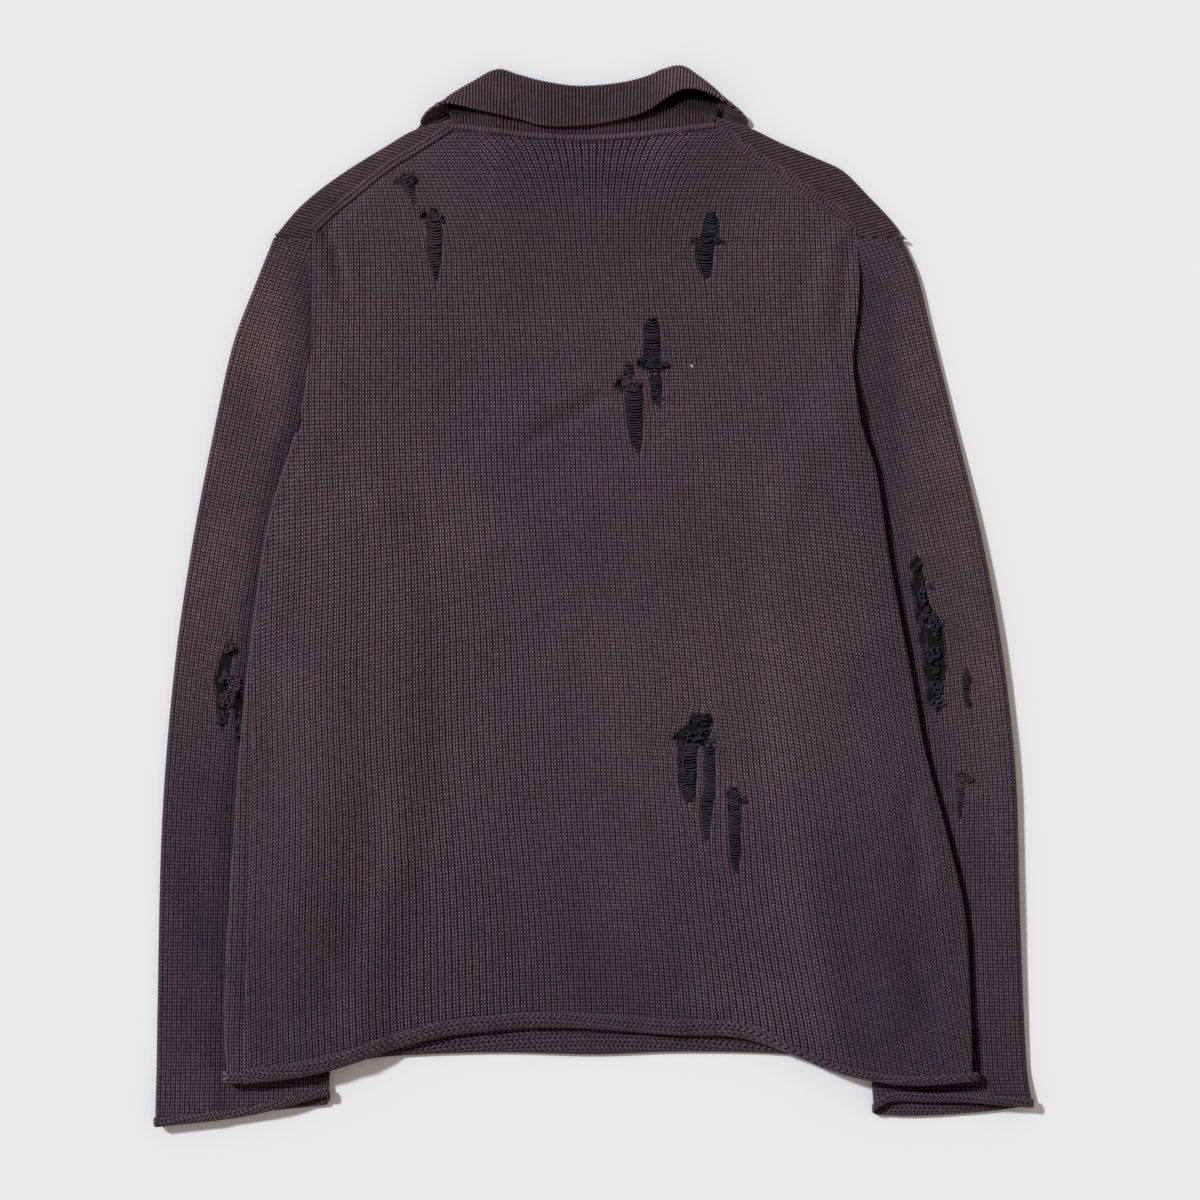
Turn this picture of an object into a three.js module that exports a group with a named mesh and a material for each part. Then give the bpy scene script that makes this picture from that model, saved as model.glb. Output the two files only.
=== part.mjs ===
// A long-sleeved knitted wool sweater with a turned-down rib collar, darned in twelve places.
// It lies flat on a table with its back up. X runs across it, Y from hem to collar and Z up.
// All sizes are in millimetres. "Left" and "right" are the wearer's.
import * as THREE from 'three';

// Cloth and layering
const CLOTH = 2.4; // thickness of the knitted fabric
const HALF = CLOTH / 2;
const GAP = 0.3; // between two pieces at a seam
const FOLD = 1.5; // radius of a flat fold at the middle of the cloth
const LAYER = 2 * FOLD; // from one layer's middle to the next one's
const TRIM = 1.6; // thickness of a raised linking seam
const SEAM_CROWN = 0.4; // its middle stands this much prouder than its edges
const DARN = 1.0; // thickness of a darn

// Landmarks
const UNDERARM = 125; // height of the underarm
const SLEEVE_TOP = 259; // where a sleeve's head joins the shoulder band
const NECK_LEFT = -103; // where the neck seam meets each shoulder seam
const NECK_RIGHT = 88;
const WRAP_TOP = 118; // side folds reach this high
const SIDE_FOOT = -350; // where the body's side outlines start
const SIDE_HEAD = 265; // and end, at the shoulders
const CUFF_FOOT = -375; // height at which a cuff's width is taken
const ARMHOLE_LEFT = -205; // X of the armholes at the shoulder band
const ARMHOLE_RIGHT = 191;

// Heights of the rows of points up a side, closer together round the underarm
const SIDE_ROWS = [-345, -325, -285, -240, -195, -150, -100, -45, 15, 70, 113, 124, 145, 170, 215];
const SLEEVE_ROWS = [-378, -363, -350, -325, -285, -195, -105, -15, 60, 113, 124, 145, 170, 215];
const shares = (heights, top) => [...heights, top].map((y) => (y - heights[0]) / (top - heights[0]));

// Rolled edges: radii of the curl's middle along and across the cloth
const BACK_ROLL = { wide: 4.8, slim: 2.4, high: 2.6, from: 115, to: 150 };
const FRONT_ROLL = { along: 2.6, high: 1.8 };
const CUFF_ROLL = { along: 2.3, high: 1.7 };
const CUFF_CORNER = 0.3; // how far the curl flares sideways at a cuff's two folds
const ROLL_ANGLES = [240, 180, 120, 60];

const clamp01 = (t) => Math.min(1, Math.max(0, t));
const ease = (t) => clamp01(t) ** 2 * (3 - 2 * clamp01(t));
const lerp = (a, b, t) => a + (b - a) * t;
const radians = (degrees) => (degrees * Math.PI) / 180;

// A smooth curve through hand-set points [at, value], in rising order of `at`.
function through(points) {
  const slope = points.map((point, i) => {
    const before = points[Math.max(0, i - 1)];
    const after = points[Math.min(points.length - 1, i + 1)];
    return (after[1] - before[1]) / (after[0] - before[0]);
  });
  return (at) => {
    let i = points.findIndex((point) => point[0] > at) - 1;
    if (i === -2) i = points.length - 2;
    i = Math.max(0, i);
    const [a, b] = [points[i], points[i + 1]];
    const span = b[0] - a[0];
    const t = clamp01((at - a[0]) / span);
    const [t2, t3] = [t * t, t * t * t];
    return (2 * t3 - 3 * t2 + 1) * a[1] + (t3 - 2 * t2 + t) * span * slope[i]
      + (3 * t2 - 2 * t3) * b[1] + (t3 - t2) * span * slope[i + 1];
  };
}

// Outlines: X of an edge at height Y
const bodyLeft = through([[-350, -264], [-300, -267], [-200, -262], [-90, -254], [0, -244], [60, -234],
  [105, -220], [145, -208], [200, -206], [265, -205]]);
const bodyRight = through([[-350, 272], [-300, 271], [-230, 267], [-175, 255], [-110, 238], [-55, 228],
  [25, 213], [90, 203], [125, 192], [165, 186], [215, 190], [265, 191]]);
const sleeveLeftOuter = through([[-380, -316.5], [-300, -315.5], [-160, -312], [-50, -303], [40, -290],
  [130, -272.5], [185, -260], [230, -243], [260, -231]]);
const sleeveRightOuter = through([[-375, 317], [-340, 312], [-230, 307], [-130, 304], [-45, 295],
  [40, 280], [130, 258.5], [200, 241], [235, 232], [260, 221]]);
const sleeveLeftInner = through([[-380, -192], [-300, -186], [-200, -168], [-80, -152], [0, -156],
  [60, -172], [95, -190], [125, -211]]);
const sleeveRightInner = through([[-380, 201], [-300, 194], [-200, 176], [-80, 158], [0, 158],
  [60, 164], [95, 175], [125, 189]]);

// Outlines: Y of an edge at X
const backHem = through([[-267, -351], [-230, -348], [-195, -342], [-165, -333], [-140, -325],
  [-108, -317], [-75, -313], [-38, -310.5], [5, -312], [53, -315.5], [105, -318], [145, -331], [170, -341],
  [200, -348], [232, -351], [272, -348]]);
const frontHem = through([[-267, -349], [-200, -339], [-150, -333], [-72, -330], [0, -331.5],
  [62, -329.5], [140, -331.5], [200, -341], [272, -347]]);
const shoulderLeft = through([[-231, 260], [-212, 282], [-185, 303.5], [-150, 325], [-131, 336],
  [-103, 344]]);
const shoulderRight = through([[88, 346], [111, 338.5], [135, 327], [164, 315], [180, 307],
  [197, 290], [214, 272], [222, 261]]);
const backShoulderLeft = through([[-205, 263], [-190, 277], [-168, 295], [-146, 312], [-128, 323],
  [-103, 339]]);
const backShoulderRight = through([[88, 340], [110, 322], [132, 307], [156, 291], [173, 280],
  [191, 264]]);
const backNeck = through([[-103, 339], [-71, 335.5], [-40, 332.5], [-5, 331], [30, 333], [60, 336.5],
  [88, 340]]);
const frontNeck = through([[-103, 259.2], [-85, 250], [-60, 241], [-15, 235], [10, 235], [45, 241],
  [70, 250], [88, 259.2]]);
const leftCuff = { top: through([[-317, -382], [-257, -375.5], [-231, -370], [-192, -360]]),
  under: through([[-317, -381.5], [-240, -373], [-192, -368]]) };
const rightCuff = { top: through([[200, -370], [212, -364], [240, -364], [280, -365], [317, -368]]),
  under: through([[200, -375], [230, -376], [281, -373], [317, -369]]) };

// Width of the strip of front that wraps onto the back at the left side, at height Y.
const leftStrip = through([[-350, 10], [-290, 13], [-200, 11], [-100, 6], [-20, 0.5], [120, 0.5]]);
const RIGHT_STRIP = 12; // the back wraps under the right side by this much
const RIGHT_FOLD = 2.2; // and stands a little higher there

// X of the wale lines at the shoulder. They spread with the outline towards the hem.
const WALES = [-190, -174, -157, -142, -128, -116, NECK_LEFT, -85, -71, -55, -38, -15, 4, 22, 38, 50,
  62, 74, NECK_RIGHT, 104, 120, 138, 156, 174];
const waleX = (x, y) => {
  const share = (x - bodyLeft(SIDE_HEAD)) / (bodyRight(SIDE_HEAD) - bodyLeft(SIDE_HEAD));
  return lerp(bodyLeft(y), bodyRight(y), share);
};
const isNeck = (x) => x > NECK_LEFT && x < NECK_RIGHT;

// How far a plan point lies outside a closed outline: 0 inside it.
function clearance(outline, x, y) {
  let inside = false;
  let nearest = Infinity;
  outline.forEach(([ax, ay], i) => {
    const [bx, by] = outline[(i + 1) % outline.length];
    if ((ay > y) !== (by > y) && x < ax + ((bx - ax) * (y - ay)) / (by - ay)) inside = !inside;
    const t = clamp01(((x - ax) * (bx - ax) + (y - ay) * (by - ay)) / ((bx - ax) ** 2 + (by - ay) ** 2));
    nearest = Math.min(nearest, Math.hypot(x - lerp(ax, bx, t), y - lerp(ay, by, t)));
  });
  return inside ? 0 : nearest;
}

const steps = (from, to, count) => Array.from({ length: count + 1 }, (_, i) => lerp(from, to, i / count));
// Plan outlines of the sleeves below the underarm, and of the collar's two front leaves
const SLEEVE_FOOT = -380;
const BEYOND_SLEEVES = 330;
const sleeveArea = (inner, far) => [...steps(SLEEVE_FOOT, UNDERARM, 14).map((y) => [inner(y), y]),
  [far, UNDERARM], [far, SLEEVE_FOOT]];
const SLEEVE_AREAS = [
  sleeveArea(sleeveLeftInner, -BEYOND_SLEEVES), sleeveArea(sleeveRightInner, BEYOND_SLEEVES)];
const LEAF_AREA = [[-131, 334], [-143, 316], [-148, 292], [-146, 262], [-132, 232], [-106, 211], [-60, 196],
  [-15, 192], [0, 192], [45, 196], [91, 211], [117, 232], [131, 262], [133, 292], [128, 316], [116, 334],
  [96, 350], [72, 336], [64, 305], [58, 280], [36, 268], [4, 260], [-15, 260], [-51, 268], [-73, 280],
  [-79, 305], [-87, 336], [-111, 350]];

// Height of the cuffs' lower layer above its flat place: it rests on its own rolled edge.
const cuffRise = (y) => (2 * CUFF_ROLL.high + GAP) * ease((-335 - y) / 35);
// The space under the front: sleeves at the sides, the collar's leaves near the neck. The cloth stays
// up to `margin` beyond them and comes down over `run`.
const SLEEVE_BED = { margin: 14, run: 36 };
const LEAF_BED = { margin: 4, run: 34 };
function bed(x, y) {
  const falling = (area, { margin, run }) => ease(1 - (clearance(area, x, y) - margin) / run);
  const sleeve = Math.max(...SLEEVE_AREAS.map((area) => falling(area, SLEEVE_BED)));
  const leaf = falling(LEAF_AREA, LEAF_BED);
  return Math.max((CLOTH + LAYER + 2 * GAP + cuffRise(y - 10)) * sleeve, LAYER * leaf);
}
const frontHemRise = (x, y) => 2 * FRONT_ROLL.high * ease(1 - (y - frontHem(x) - 10) / 50);
const frontHeight = (x, y) => HALF + bed(x, y) + frontHemRise(x, y);

// Long soft folds in the back, as [route, half-width, height]
const BACK_FOLDS = [
  [[[-190, -50], [-182, -110], [-212, -227]], 22, 3.2],
  [[[-158, 60], [-150, -60], [-170, -210]], 26, 1.6],
  [[[0, 60], [-40, 45], [-95, 20]], 22, 1.8],
  [[[150, 240], [140, 120], [150, 20]], 22, 2.2],
  [[[215, -110], [222, -190], [214, -300]], 22, 2.6],
  [[[110, -60], [140, -180], [150, -290]], 26, 1.8],
];
function backFolds(x, y) {
  const heights = BACK_FOLDS.map(([route, halfWidth, height]) => {
    const there = route.slice(1).map((to, i) => clearance([route[i], to], x, y));
    return height * ease(1 - Math.min(...there) / (2 * halfWidth));
  });
  return Math.max(...heights);
}
const backTop = (x) => {
  if (x < NECK_LEFT) return backShoulderLeft(x);
  return x > NECK_RIGHT ? backShoulderRight(x) : backNeck(x);
};

// Height of the back's middle: on the front, higher at the right side's rounder fold, with a little
// air under it and its long folds away from the edges.
const AIR = 1.4;
function backHeight(x, y) {
  const onFront = frontHeight(x, y) + LAYER;
  const edge = Math.min(x - bodyLeft(y), bodyRight(y) - x);
  const rightLift = 2 * (RIGHT_FOLD - FOLD) * ease(1 - (bodyRight(y) - x - 4) / 40) * ease((140 - y) / 30);
  const inland = Math.min(edge, backTop(x) - y, y - backHem(x) - 10);
  return onFront + rightLift + AIR * ease((inland - 4) / 14) + backFolds(x, y) * ease((inland - 12) / 30);
}

// A closed solid of even thickness about a grid of points on its middle. kept(row, column) says
// which cells are cloth, a ring joins its last column to its first, and free edges get a wall.
function clothSolid(grid, thickness, { kept = () => true, ring = false } = {}) {
  const rows = grid.length;
  const columns = grid[0].length;
  const cellColumns = ring ? columns : columns - 1;
  const wrap = (column) => (ring ? (column + columns) % columns : column);
  const isCloth = (row, column) => row >= 0 && row < rows - 1
    && (ring || (column >= 0 && column < cellColumns)) && kept(row, wrap(column));
  const corners = (row, column) => [[row, column], [row, wrap(column + 1)],
    [row + 1, wrap(column + 1)], [row + 1, column]];
  const normals = grid.map((line) => line.map(() => new THREE.Vector3()));
  for (let row = 0; row < rows - 1; row += 1) {
    for (let column = 0; column < cellColumns; column += 1) {
      if (!isCloth(row, column)) continue;
      const [a, b, c, d] = corners(row, column).map(([r, k]) => grid[r][k]);
      const normal = c.clone().sub(a).cross(d.clone().sub(b)).normalize();
      corners(row, column).forEach(([r, k]) => normals[r][k].add(normal));
    }
  }
  const positions = [];
  const places = new Map();
  const vertex = ([row, column], side) => {
    const key = (row * columns + column) * 2 + (side > 0 ? 1 : 0);
    if (!places.has(key)) {
      const normal = normals[row][column].clone().normalize();
      const point = grid[row][column].clone().addScaledVector(normal, (side * thickness) / 2);
      places.set(key, positions.length / 3);
      positions.push(point.x, point.y, point.z);
    }
    return places.get(key);
  };
  const index = [];
  const quad = (a, b, c, d) => index.push(a, b, c, a, c, d);
  for (let row = 0; row < rows - 1; row += 1) {
    for (let column = 0; column < cellColumns; column += 1) {
      if (!isCloth(row, column)) continue;
      const at = corners(row, column);
      quad(...at.map((corner) => vertex(corner, 1)));
      quad(...at.map((corner) => vertex(corner, -1)).reverse());
      const beside = [[row - 1, column], [row, column + 1], [row + 1, column], [row, column - 1]];
      beside.forEach(([r, k], side) => {
        if (isCloth(r, k)) return;
        const [from, to] = [at[side], at[(side + 1) % 4]];
        quad(vertex(from, 1), vertex(from, -1), vertex(to, -1), vertex(to, 1));
      });
    }
  }
  const geometry = new THREE.BufferGeometry();
  geometry.setAttribute('position', new THREE.Float32BufferAttribute(positions, 3));
  geometry.setIndex(index);
  return geometry;
}

// Rows of a rolled edge: from `base` the cloth runs on along `forward` and curls over to `outward`.
function rolled(base, forward, outward, along, high) {
  return ROLL_ANGLES.map((degrees) => {
    const turn = radians(degrees);
    return base.clone()
      .addScaledVector(forward, along * Math.sin(turn))
      .addScaledVector(outward, high * (1 - Math.cos(turn)));
  });
}
const DOWNWARD = new THREE.Vector3(0, -1, 0);

// Columns to rows
const transposed = (columns) => columns[0].map((_, row) => columns.map((column) => column[row]));

// Points round a fold in the X-Z plane, from angle 0 under it to 180 on top, and the way out of it.
function foldPoints(x, y, z, side, radius, count) {
  return steps(0, 180, count).map((degrees) => {
    const turn = radians(degrees);
    return {
      point: new THREE.Vector3(x + side * radius * Math.sin(turn), y, z + radius * (1 - Math.cos(turn))),
      outward: new THREE.Vector3(side * Math.sin(turn), 0, -Math.cos(turn)),
    };
  });
}

// The back lies on top. Below the underarm its right edge folds under to the side seam.
const BACK_HEAD = 263; // mean height of its top at the armholes
function backGrid() {
  const stops = shares(SIDE_ROWS, BACK_HEAD);
  const sideTop = (y) => ease((UNDERARM + 12 - y) / 14);
  const rollAlong = (x) => lerp(BACK_ROLL.wide, BACK_ROLL.slim,
    ease((x - BACK_ROLL.from) / (BACK_ROLL.to - BACK_ROLL.from)));
  const row = (v) => {
    const line = [];
    const heightAt = (x) => {
      const along = rollAlong(x);
      return lerp(backHem(x) + HALF + along, backTop(x) - GAP / 2, v);
    };
    const isSide = v < 0.7;
    const sideY = lerp(SIDE_FOOT, SIDE_HEAD, v);
    const yLeft = heightAt(isSide ? bodyLeft(sideY) : ARMHOLE_LEFT);
    const left = bodyLeft(yLeft) + (HALF + FOLD + 3 * GAP + leftStrip(yLeft)) * sideTop(yLeft);
    line.push({ x: left, y: yLeft });
    WALES.forEach((wale) => {
      const x = waleX(wale, lerp(SIDE_ROWS[0], BACK_HEAD, v));
      const y = heightAt(x);
      line.push({ x: waleX(wale, y), y });
    });
    const yRight = heightAt(isSide ? bodyRight(sideY) : ARMHOLE_RIGHT);
    const right = bodyRight(yRight) - (HALF + RIGHT_FOLD) * sideTop(yRight);
    line.push({ x: right, y: yRight });
    const flat = line.map(({ x, y }) => ({
      point: new THREE.Vector3(x, y, backHeight(x, y)), outward: new THREE.Vector3(0, 0, 1) }));
    const z = backHeight(right, yRight) - 2 * RIGHT_FOLD;
    const under = foldPoints(right, yRight, z, 1, RIGHT_FOLD, 4).reverse().slice(1);
    const seam = under.at(-1).point.clone().add(new THREE.Vector3(-RIGHT_STRIP, 0, 0));
    return [...flat, ...under, { point: seam, outward: new THREE.Vector3(0, 0, -1) }];
  };
  const body = stops.map(row);
  const hem = transposed(body[0].map(({ point, outward }) => {
    const high = outward.z > 0.9 ? BACK_ROLL.high : FRONT_ROLL.high;
    return rolled(point, DOWNWARD, outward, rollAlong(point.x), high);
  }));
  return [...hem, ...body.map((line) => line.map(({ point }) => point))];
}
const BACK = backGrid();
const LAST_FLAT = WALES.length + 1;
const isBackCloth = (r, c) => c < LAST_FLAT || BACK[r + 1][c].y < WRAP_TOP;
const backPanel = () => clothSolid(BACK, CLOTH, { kept: isBackCloth });

// Height of the back's facets at a plan point. Each cell is cut from its first corner to its third.
function onBack(x, y) {
  const side = (a, b) => (b.x - a.x) * (y - a.y) - (b.y - a.y) * (x - a.x);
  for (let row = ROLL_ANGLES.length; row < BACK.length - 1; row += 1) {
    for (let column = 0; column < LAST_FLAT; column += 1) {
      const [a, b] = [BACK[row][column], BACK[row][column + 1]];
      const [c, d] = [BACK[row + 1][column + 1], BACK[row + 1][column]];
      const facet = [[a, b, c], [a, c, d]].find(([p, q, r]) => (
        side(p, q) >= 0 && side(q, r) >= 0 && side(r, p) >= 0));
      if (facet) {
        const [p, q, r] = facet;
        const weights = [side(q, r), side(r, p), side(p, q)];
        const whole = weights[0] + weights[1] + weights[2];
        return (weights[0] * p.z + weights[1] * q.z + weights[2] * r.z) / whole;
      }
    }
  }
  throw new Error(`no back at ${x}, ${y}`);
}

// The front lies under the back. Its left edge wraps up onto the back, and so do both shoulders.
const SHOULDER_ENDS = { left: [-216, -228], right: [205, 218] };
const FRONT_TOP = { left: -204.5, right: 190.5 }; // X of its armhole corners
function frontPanel() {
  const highRows = 3;
  const foldSteps = 3;
  const shoulderStart = SLEEVE_TOP + 0.2;
  const stops = shares(SIDE_ROWS, shoulderStart);
  const lowRows = stops.length - 1;
  const sideTop = (y) => ease((UNDERARM - 2 - y) / 8);
  const lowTop = (x) => (isNeck(x) ? frontNeck(x) : shoulderStart);
  const base = (x) => frontHem(x) + HALF + FRONT_ROLL.along;
  const put = (x, y) => new THREE.Vector3(x, y, frontHeight(x, y));
  const down = new THREE.Vector3(0, 0, -1);

  // Where a shoulder folds over, and the point it then runs back to on the shoulder seam
  const shoulder = (x) => {
    const outline = x < 0 ? shoulderLeft : shoulderRight;
    const slope = (outline(x + 1) - outline(x - 1)) / 2;
    const out = new THREE.Vector3(-slope, 1, 0).normalize();
    const rim = new THREE.Vector3(x, outline(x), 0).addScaledVector(out, -(HALF + FOLD));
    return { rim, out };
  };
  const seamPoint = (x) => {
    const beyond = x < ARMHOLE_LEFT || x > ARMHOLE_RIGHT;
    return new THREE.Vector3(x, beyond ? shoulderStart : backTop(x) + GAP / 2, 0);
  };
  const upper = (x) => {
    const { rim, out } = shoulder(x);
    const flat = steps(0, 1, highRows).slice(1).map((v) => {
      const px = lerp(x, rim.x, v);
      return put(px, lerp(shoulderStart, rim.y, v));
    });
    const last = flat.at(-1);
    const over = steps(0, 180, foldSteps).slice(1).map((degrees) => last.clone()
      .addScaledVector(out, FOLD * Math.sin(radians(degrees)))
      .add(new THREE.Vector3(0, 0, FOLD * (1 - Math.cos(radians(degrees))))));
    const seam = seamPoint(x);
    seam.z = frontHeight(seam.x, seam.y) + LAYER;
    const half = over.at(-1).clone().lerp(seam, 0.5);
    half.z = frontHeight(half.x, half.y) + LAYER;
    return [...flat, ...over, half, seam];
  };

  const columns = [];
  const addColumn = (kind, xAt, shoulderX) => {
    const low = stops.map((v) => {
      const guess = xAt(lerp(SIDE_ROWS[0], shoulderStart, v), v);
      const y = lerp(base(guess), lowTop(shoulderX), v);
      return put(xAt(y, v), y);
    });
    columns.push({ kind, low, high: upper(shoulderX) });
  };
  const leftX = (y) => bodyLeft(y) + lerp(GAP, HALF + FOLD, sideTop(y));
  const rightX = (y) => bodyRight(y) - lerp(GAP, HALF + RIGHT_FOLD + RIGHT_STRIP + GAP, sideTop(y));

  // Columns from the left strip's free edge, round the left fold, across, to the right edge
  const turn = (degrees, reach) => ({ degrees, reach });
  const wrap = [turn(180, 1), turn(180, 0), turn(120, 0), turn(60, 0)];
  wrap.forEach(({ degrees, reach }, i) => {
    const low = stops.map((v) => {
      const y = lerp(base(bodyLeft(SIDE_FOOT)), shoulderStart, v);
      const x = leftX(y);
      const point = put(x, y);
      point.x += reach * leftStrip(y) - FOLD * Math.sin(radians(degrees));
      point.z += FOLD * (1 - Math.cos(radians(degrees)));
      return point;
    });
    const shoulderX = SHOULDER_ENDS.left[i === 2 ? 1 : 0];
    if (i >= 2) low[lowRows].set(shoulderX, shoulderStart, frontHeight(shoulderX, shoulderStart));
    columns.push({ kind: 'wrap', degrees, low, high: upper(shoulderX) });
  });
  addColumn('left edge', (y, v) => (v === 1 ? FRONT_TOP.left : leftX(y)), FRONT_TOP.left);
  WALES.forEach((wale) => addColumn('wale', (y) => waleX(wale, y), wale));
  addColumn('right edge', (y, v) => (v === 1 ? FRONT_TOP.right : rightX(y)), FRONT_TOP.right);
  SHOULDER_ENDS.right.forEach((shoulderX) => {
    addColumn('end', (y, v) => (v === 1 ? shoulderX : rightX(y)), shoulderX);
  });

  const hem = transposed(columns.map(({ kind, degrees = 0, low }) => {
    const outward = kind === 'wrap'
      ? new THREE.Vector3(-Math.sin(radians(degrees)), 0, -Math.cos(radians(degrees))) : down;
    return rolled(low[0], DOWNWARD, outward, FRONT_ROLL.along, FRONT_ROLL.high);
  }));
  const grid = [...hem, ...transposed(columns.map(({ low, high }) => [...low, ...high]))];
  const firstFlat = wrap.length;
  const rightEdge = firstFlat + WALES.length + 1;
  const neckFrom = firstFlat + 1 + WALES.indexOf(NECK_LEFT);
  const neckTo = firstFlat + 1 + WALES.indexOf(NECK_RIGHT);
  const lowEnd = hem.length + lowRows;
  const kept = (r, c) => {
    if (r >= lowEnd) return c >= firstFlat - 2 && (c < neckFrom || c >= neckTo);
    if (c < firstFlat) return grid[r + 1][c].y < WRAP_TOP;
    return c < rightEdge;
  };
  return clothSolid(grid, CLOTH, { kept });
}

// A sleeve is a flattened tube. Above the underarm it is open along the armhole, and its cuff opens
// a little over the last few centimetres.
const MOUTH_TOP = -352;
const MOUTH_RUN = 22;
const MOUTH_GAP = 4.5;
function sleeve(side, outer, inner, bodyEdge, cuff, mouth) {
  const across = 6;
  const innerAt = (y) => (y > UNDERARM - 2 ? bodyEdge(y) + side * GAP : inner(y));
  const foldCount = 2;
  const rowAt = (v) => {
    const layer = (u, isTop) => {
      const xGuess = lerp(outer(CUFF_FOOT), inner(CUFF_FOOT), u);
      const lip = isTop ? cuff.top(xGuess) : cuff.under(xGuess);
      const y = lerp(lip + HALF + CUFF_ROLL.along, SLEEVE_TOP - GAP / 2, v);
      const open = mouth(u) * ease((MOUTH_TOP - y) / MOUTH_RUN);
      const gap = LAYER + open;
      const radius = gap / 2;
      const rim = side * (HALF + FOLD);
      const isFolded = y < UNDERARM - 2;
      const from = outer(y) - rim;
      const to = isFolded ? innerAt(y) + rim : innerAt(y);
      const z = HALF + cuffRise(y) + (isTop ? gap : 0);
      return { x: lerp(from, to, u), y, z, radius };
    };
    const points = [];
    const add = ({ x, y, z }, outX, outZ) => points.push({
      point: new THREE.Vector3(x, y, z), outward: new THREE.Vector3(outX, 0, outZ) });
    const round = (top, under, way) => {
      steps(0, 180, foldCount + 1).slice(1, -1).forEach((degrees) => {
        const turn = radians(way > 0 ? degrees : 180 - degrees);
        const middle = { x: (top.x + under.x) / 2, y: (top.y + under.y) / 2, z: (top.z + under.z) / 2 };
        const outX = (way > 0 ? -side : side) * Math.sin(turn);
        middle.x += outX * FOLD;
        middle.z += top.radius * Math.cos(turn);
        add(middle, outX, Math.cos(turn));
      });
    };
    const stops = steps(0, 1, across);
    const tops = stops.map((u) => layer(u, true));
    const unders = stops.map((u) => layer(u, false));
    tops.forEach((place) => add(place, 0, 1));
    round(tops.at(-1), unders.at(-1), 1);
    [...unders].reverse().forEach((place) => add(place, 0, -1));
    round(tops[0], unders[0], -1);
    return points;
  };
  const body = shares(SLEEVE_ROWS, SLEEVE_TOP).map(rowAt);
  const roll = transposed(body[0].map(({ point, outward }) => {
    const curl = new THREE.Vector3(outward.x * CUFF_CORNER, 0, outward.z);
    return rolled(point, DOWNWARD, curl, CUFF_ROLL.along, CUFF_ROLL.high);
  }));
  const grid = [...roll, ...body.map((line) => line.map(({ point }) => point))];
  const isInnerFold = (c) => c >= across && c <= across + foldCount;
  const kept = (r, c) => !isInnerFold(c) || grid[r + 1][c].y < WRAP_TOP;
  return clothSolid(grid, CLOTH, { kept, ring: true });
}

// The collar is one rib band. Each section runs from the neck seam up its stand to the top fold and
// down its fall: [turn, seam x, y, top fold x, y, free edge x, y, lift of the free edge]. Turn is 0
// on the back, 180 on the front and between where it goes round the side of the neck.
const LEAF = [ // front sections of the left half, from the centre front to the neck's side
  [-15, 235.5, -15, 259, -15, 192], [-38, 237.8, -40, 260, -38, 193], [-60, 241.7, -55, 264, -70, 198],
  [-85, 250.6, -74, 271, -106, 211], [-102, 260, -86, 277, -132, 232], [-102, 280, -81, 286, -146, 262],
  [-102, 300, -80, 307, -148, 290], [-102, 322, -86, 334, -143, 316], [-101.8, 338.5, -97, 352, -132, 334],
];
const TURN = [ // left side of the neck
  [135, -100.5, 347, -106, 357, -124, 344, 0], [90, -100.5, 348.5, -110, 359, -123, 346, 0],
  [45, -101, 347, -111, 360, -120, 350, 1],
];
const BACK_COLLAR = [
  [0, -101.5, 340.8, -104, 362, -109, 355, 4], [0, -85, 337.5, -88, 371.5, -88, 351.5, 3],
  [0, -71, 336, -70, 380.5, -71, 348, 2], [0, -55, 334.4, -55, 377, -54, 344.5, 1],
  [0, -38, 332.9, -38, 372.5, -38, 340, 1], [0, -15, 331.6, -15, 369, -15, 339.5, 1],
  [0, 4, 331.6, 4, 369.5, 4, 341.5, 1], [0, 22, 332.8, 23, 372, 22, 345, 2],
  [0, 38, 334.4, 38, 376, 38, 350, 4], [0, 50, 335.6, 50, 381, 49, 357, 6],
  [0, 62, 337.2, 63, 383, 62, 364.5, 7], [0, 74, 338.7, 74, 376.5, 74, 365, 7],
  [0, 86, 342, 89, 364.5, 90, 359, 6],
];
const mirrorX = (x) => NECK_LEFT + NECK_RIGHT - x;
const mirrored = ([turn, sx, sy, fx, fy, ex, ey, lift]) => (
  [turn, mirrorX(sx), sy, mirrorX(fx), fy, mirrorX(ex), ey, lift]);

function collar() {
  const leaf = LEAF.map((section) => [180, ...section, 0]);
  const leftHalf = [...leaf, ...TURN];
  const sections = [...leftHalf, ...BACK_COLLAR, ...leftHalf.map(mirrored).reverse()];
  const sideHeight = HALF + LAYER + FOLD; // middle of the stack where the collar turns
  const grid = transposed(sections.map(([turn, sx, sy, fx, fy, ex, ey, lift]) => {
    const out = sx < (NECK_LEFT + NECK_RIGHT) / 2 ? -1 : 1;
    const swing = radians(turn);
    const inward = new THREE.Vector3(fx - sx, fy - sy, 0).normalize();
    const seam = new THREE.Vector3(sx, sy, 0);
    const top = new THREE.Vector3(fx, fy, 0).addScaledVector(inward, -(HALF + FOLD));
    const edge = new THREE.Vector3(ex, ey, 0);
    const middle = turn === 0 ? backHeight(sx, sy - 1) - FOLD : sideHeight;
    const place = (plan, offset, raise = 0) => plan.clone().add(new THREE.Vector3(
      out * offset * Math.sin(swing), 0, middle + offset * Math.cos(swing) + raise));
    const fold = steps(0, 180, 3).map((degrees) => {
      const turnOver = radians(degrees);
      const plan = top.clone().addScaledVector(inward, FOLD * Math.sin(turnOver));
      return place(plan, 2 * FOLD - FOLD * Math.cos(turnOver));
    });
    return [
      place(seam, FOLD), place(seam.clone().lerp(top, 0.5), FOLD), ...fold,
      place(top.clone().lerp(edge, 0.5), 3 * FOLD, lift / 2), place(edge, 3 * FOLD, lift),
    ];
  }));
  return clothSolid(grid, CLOTH);
}

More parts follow.
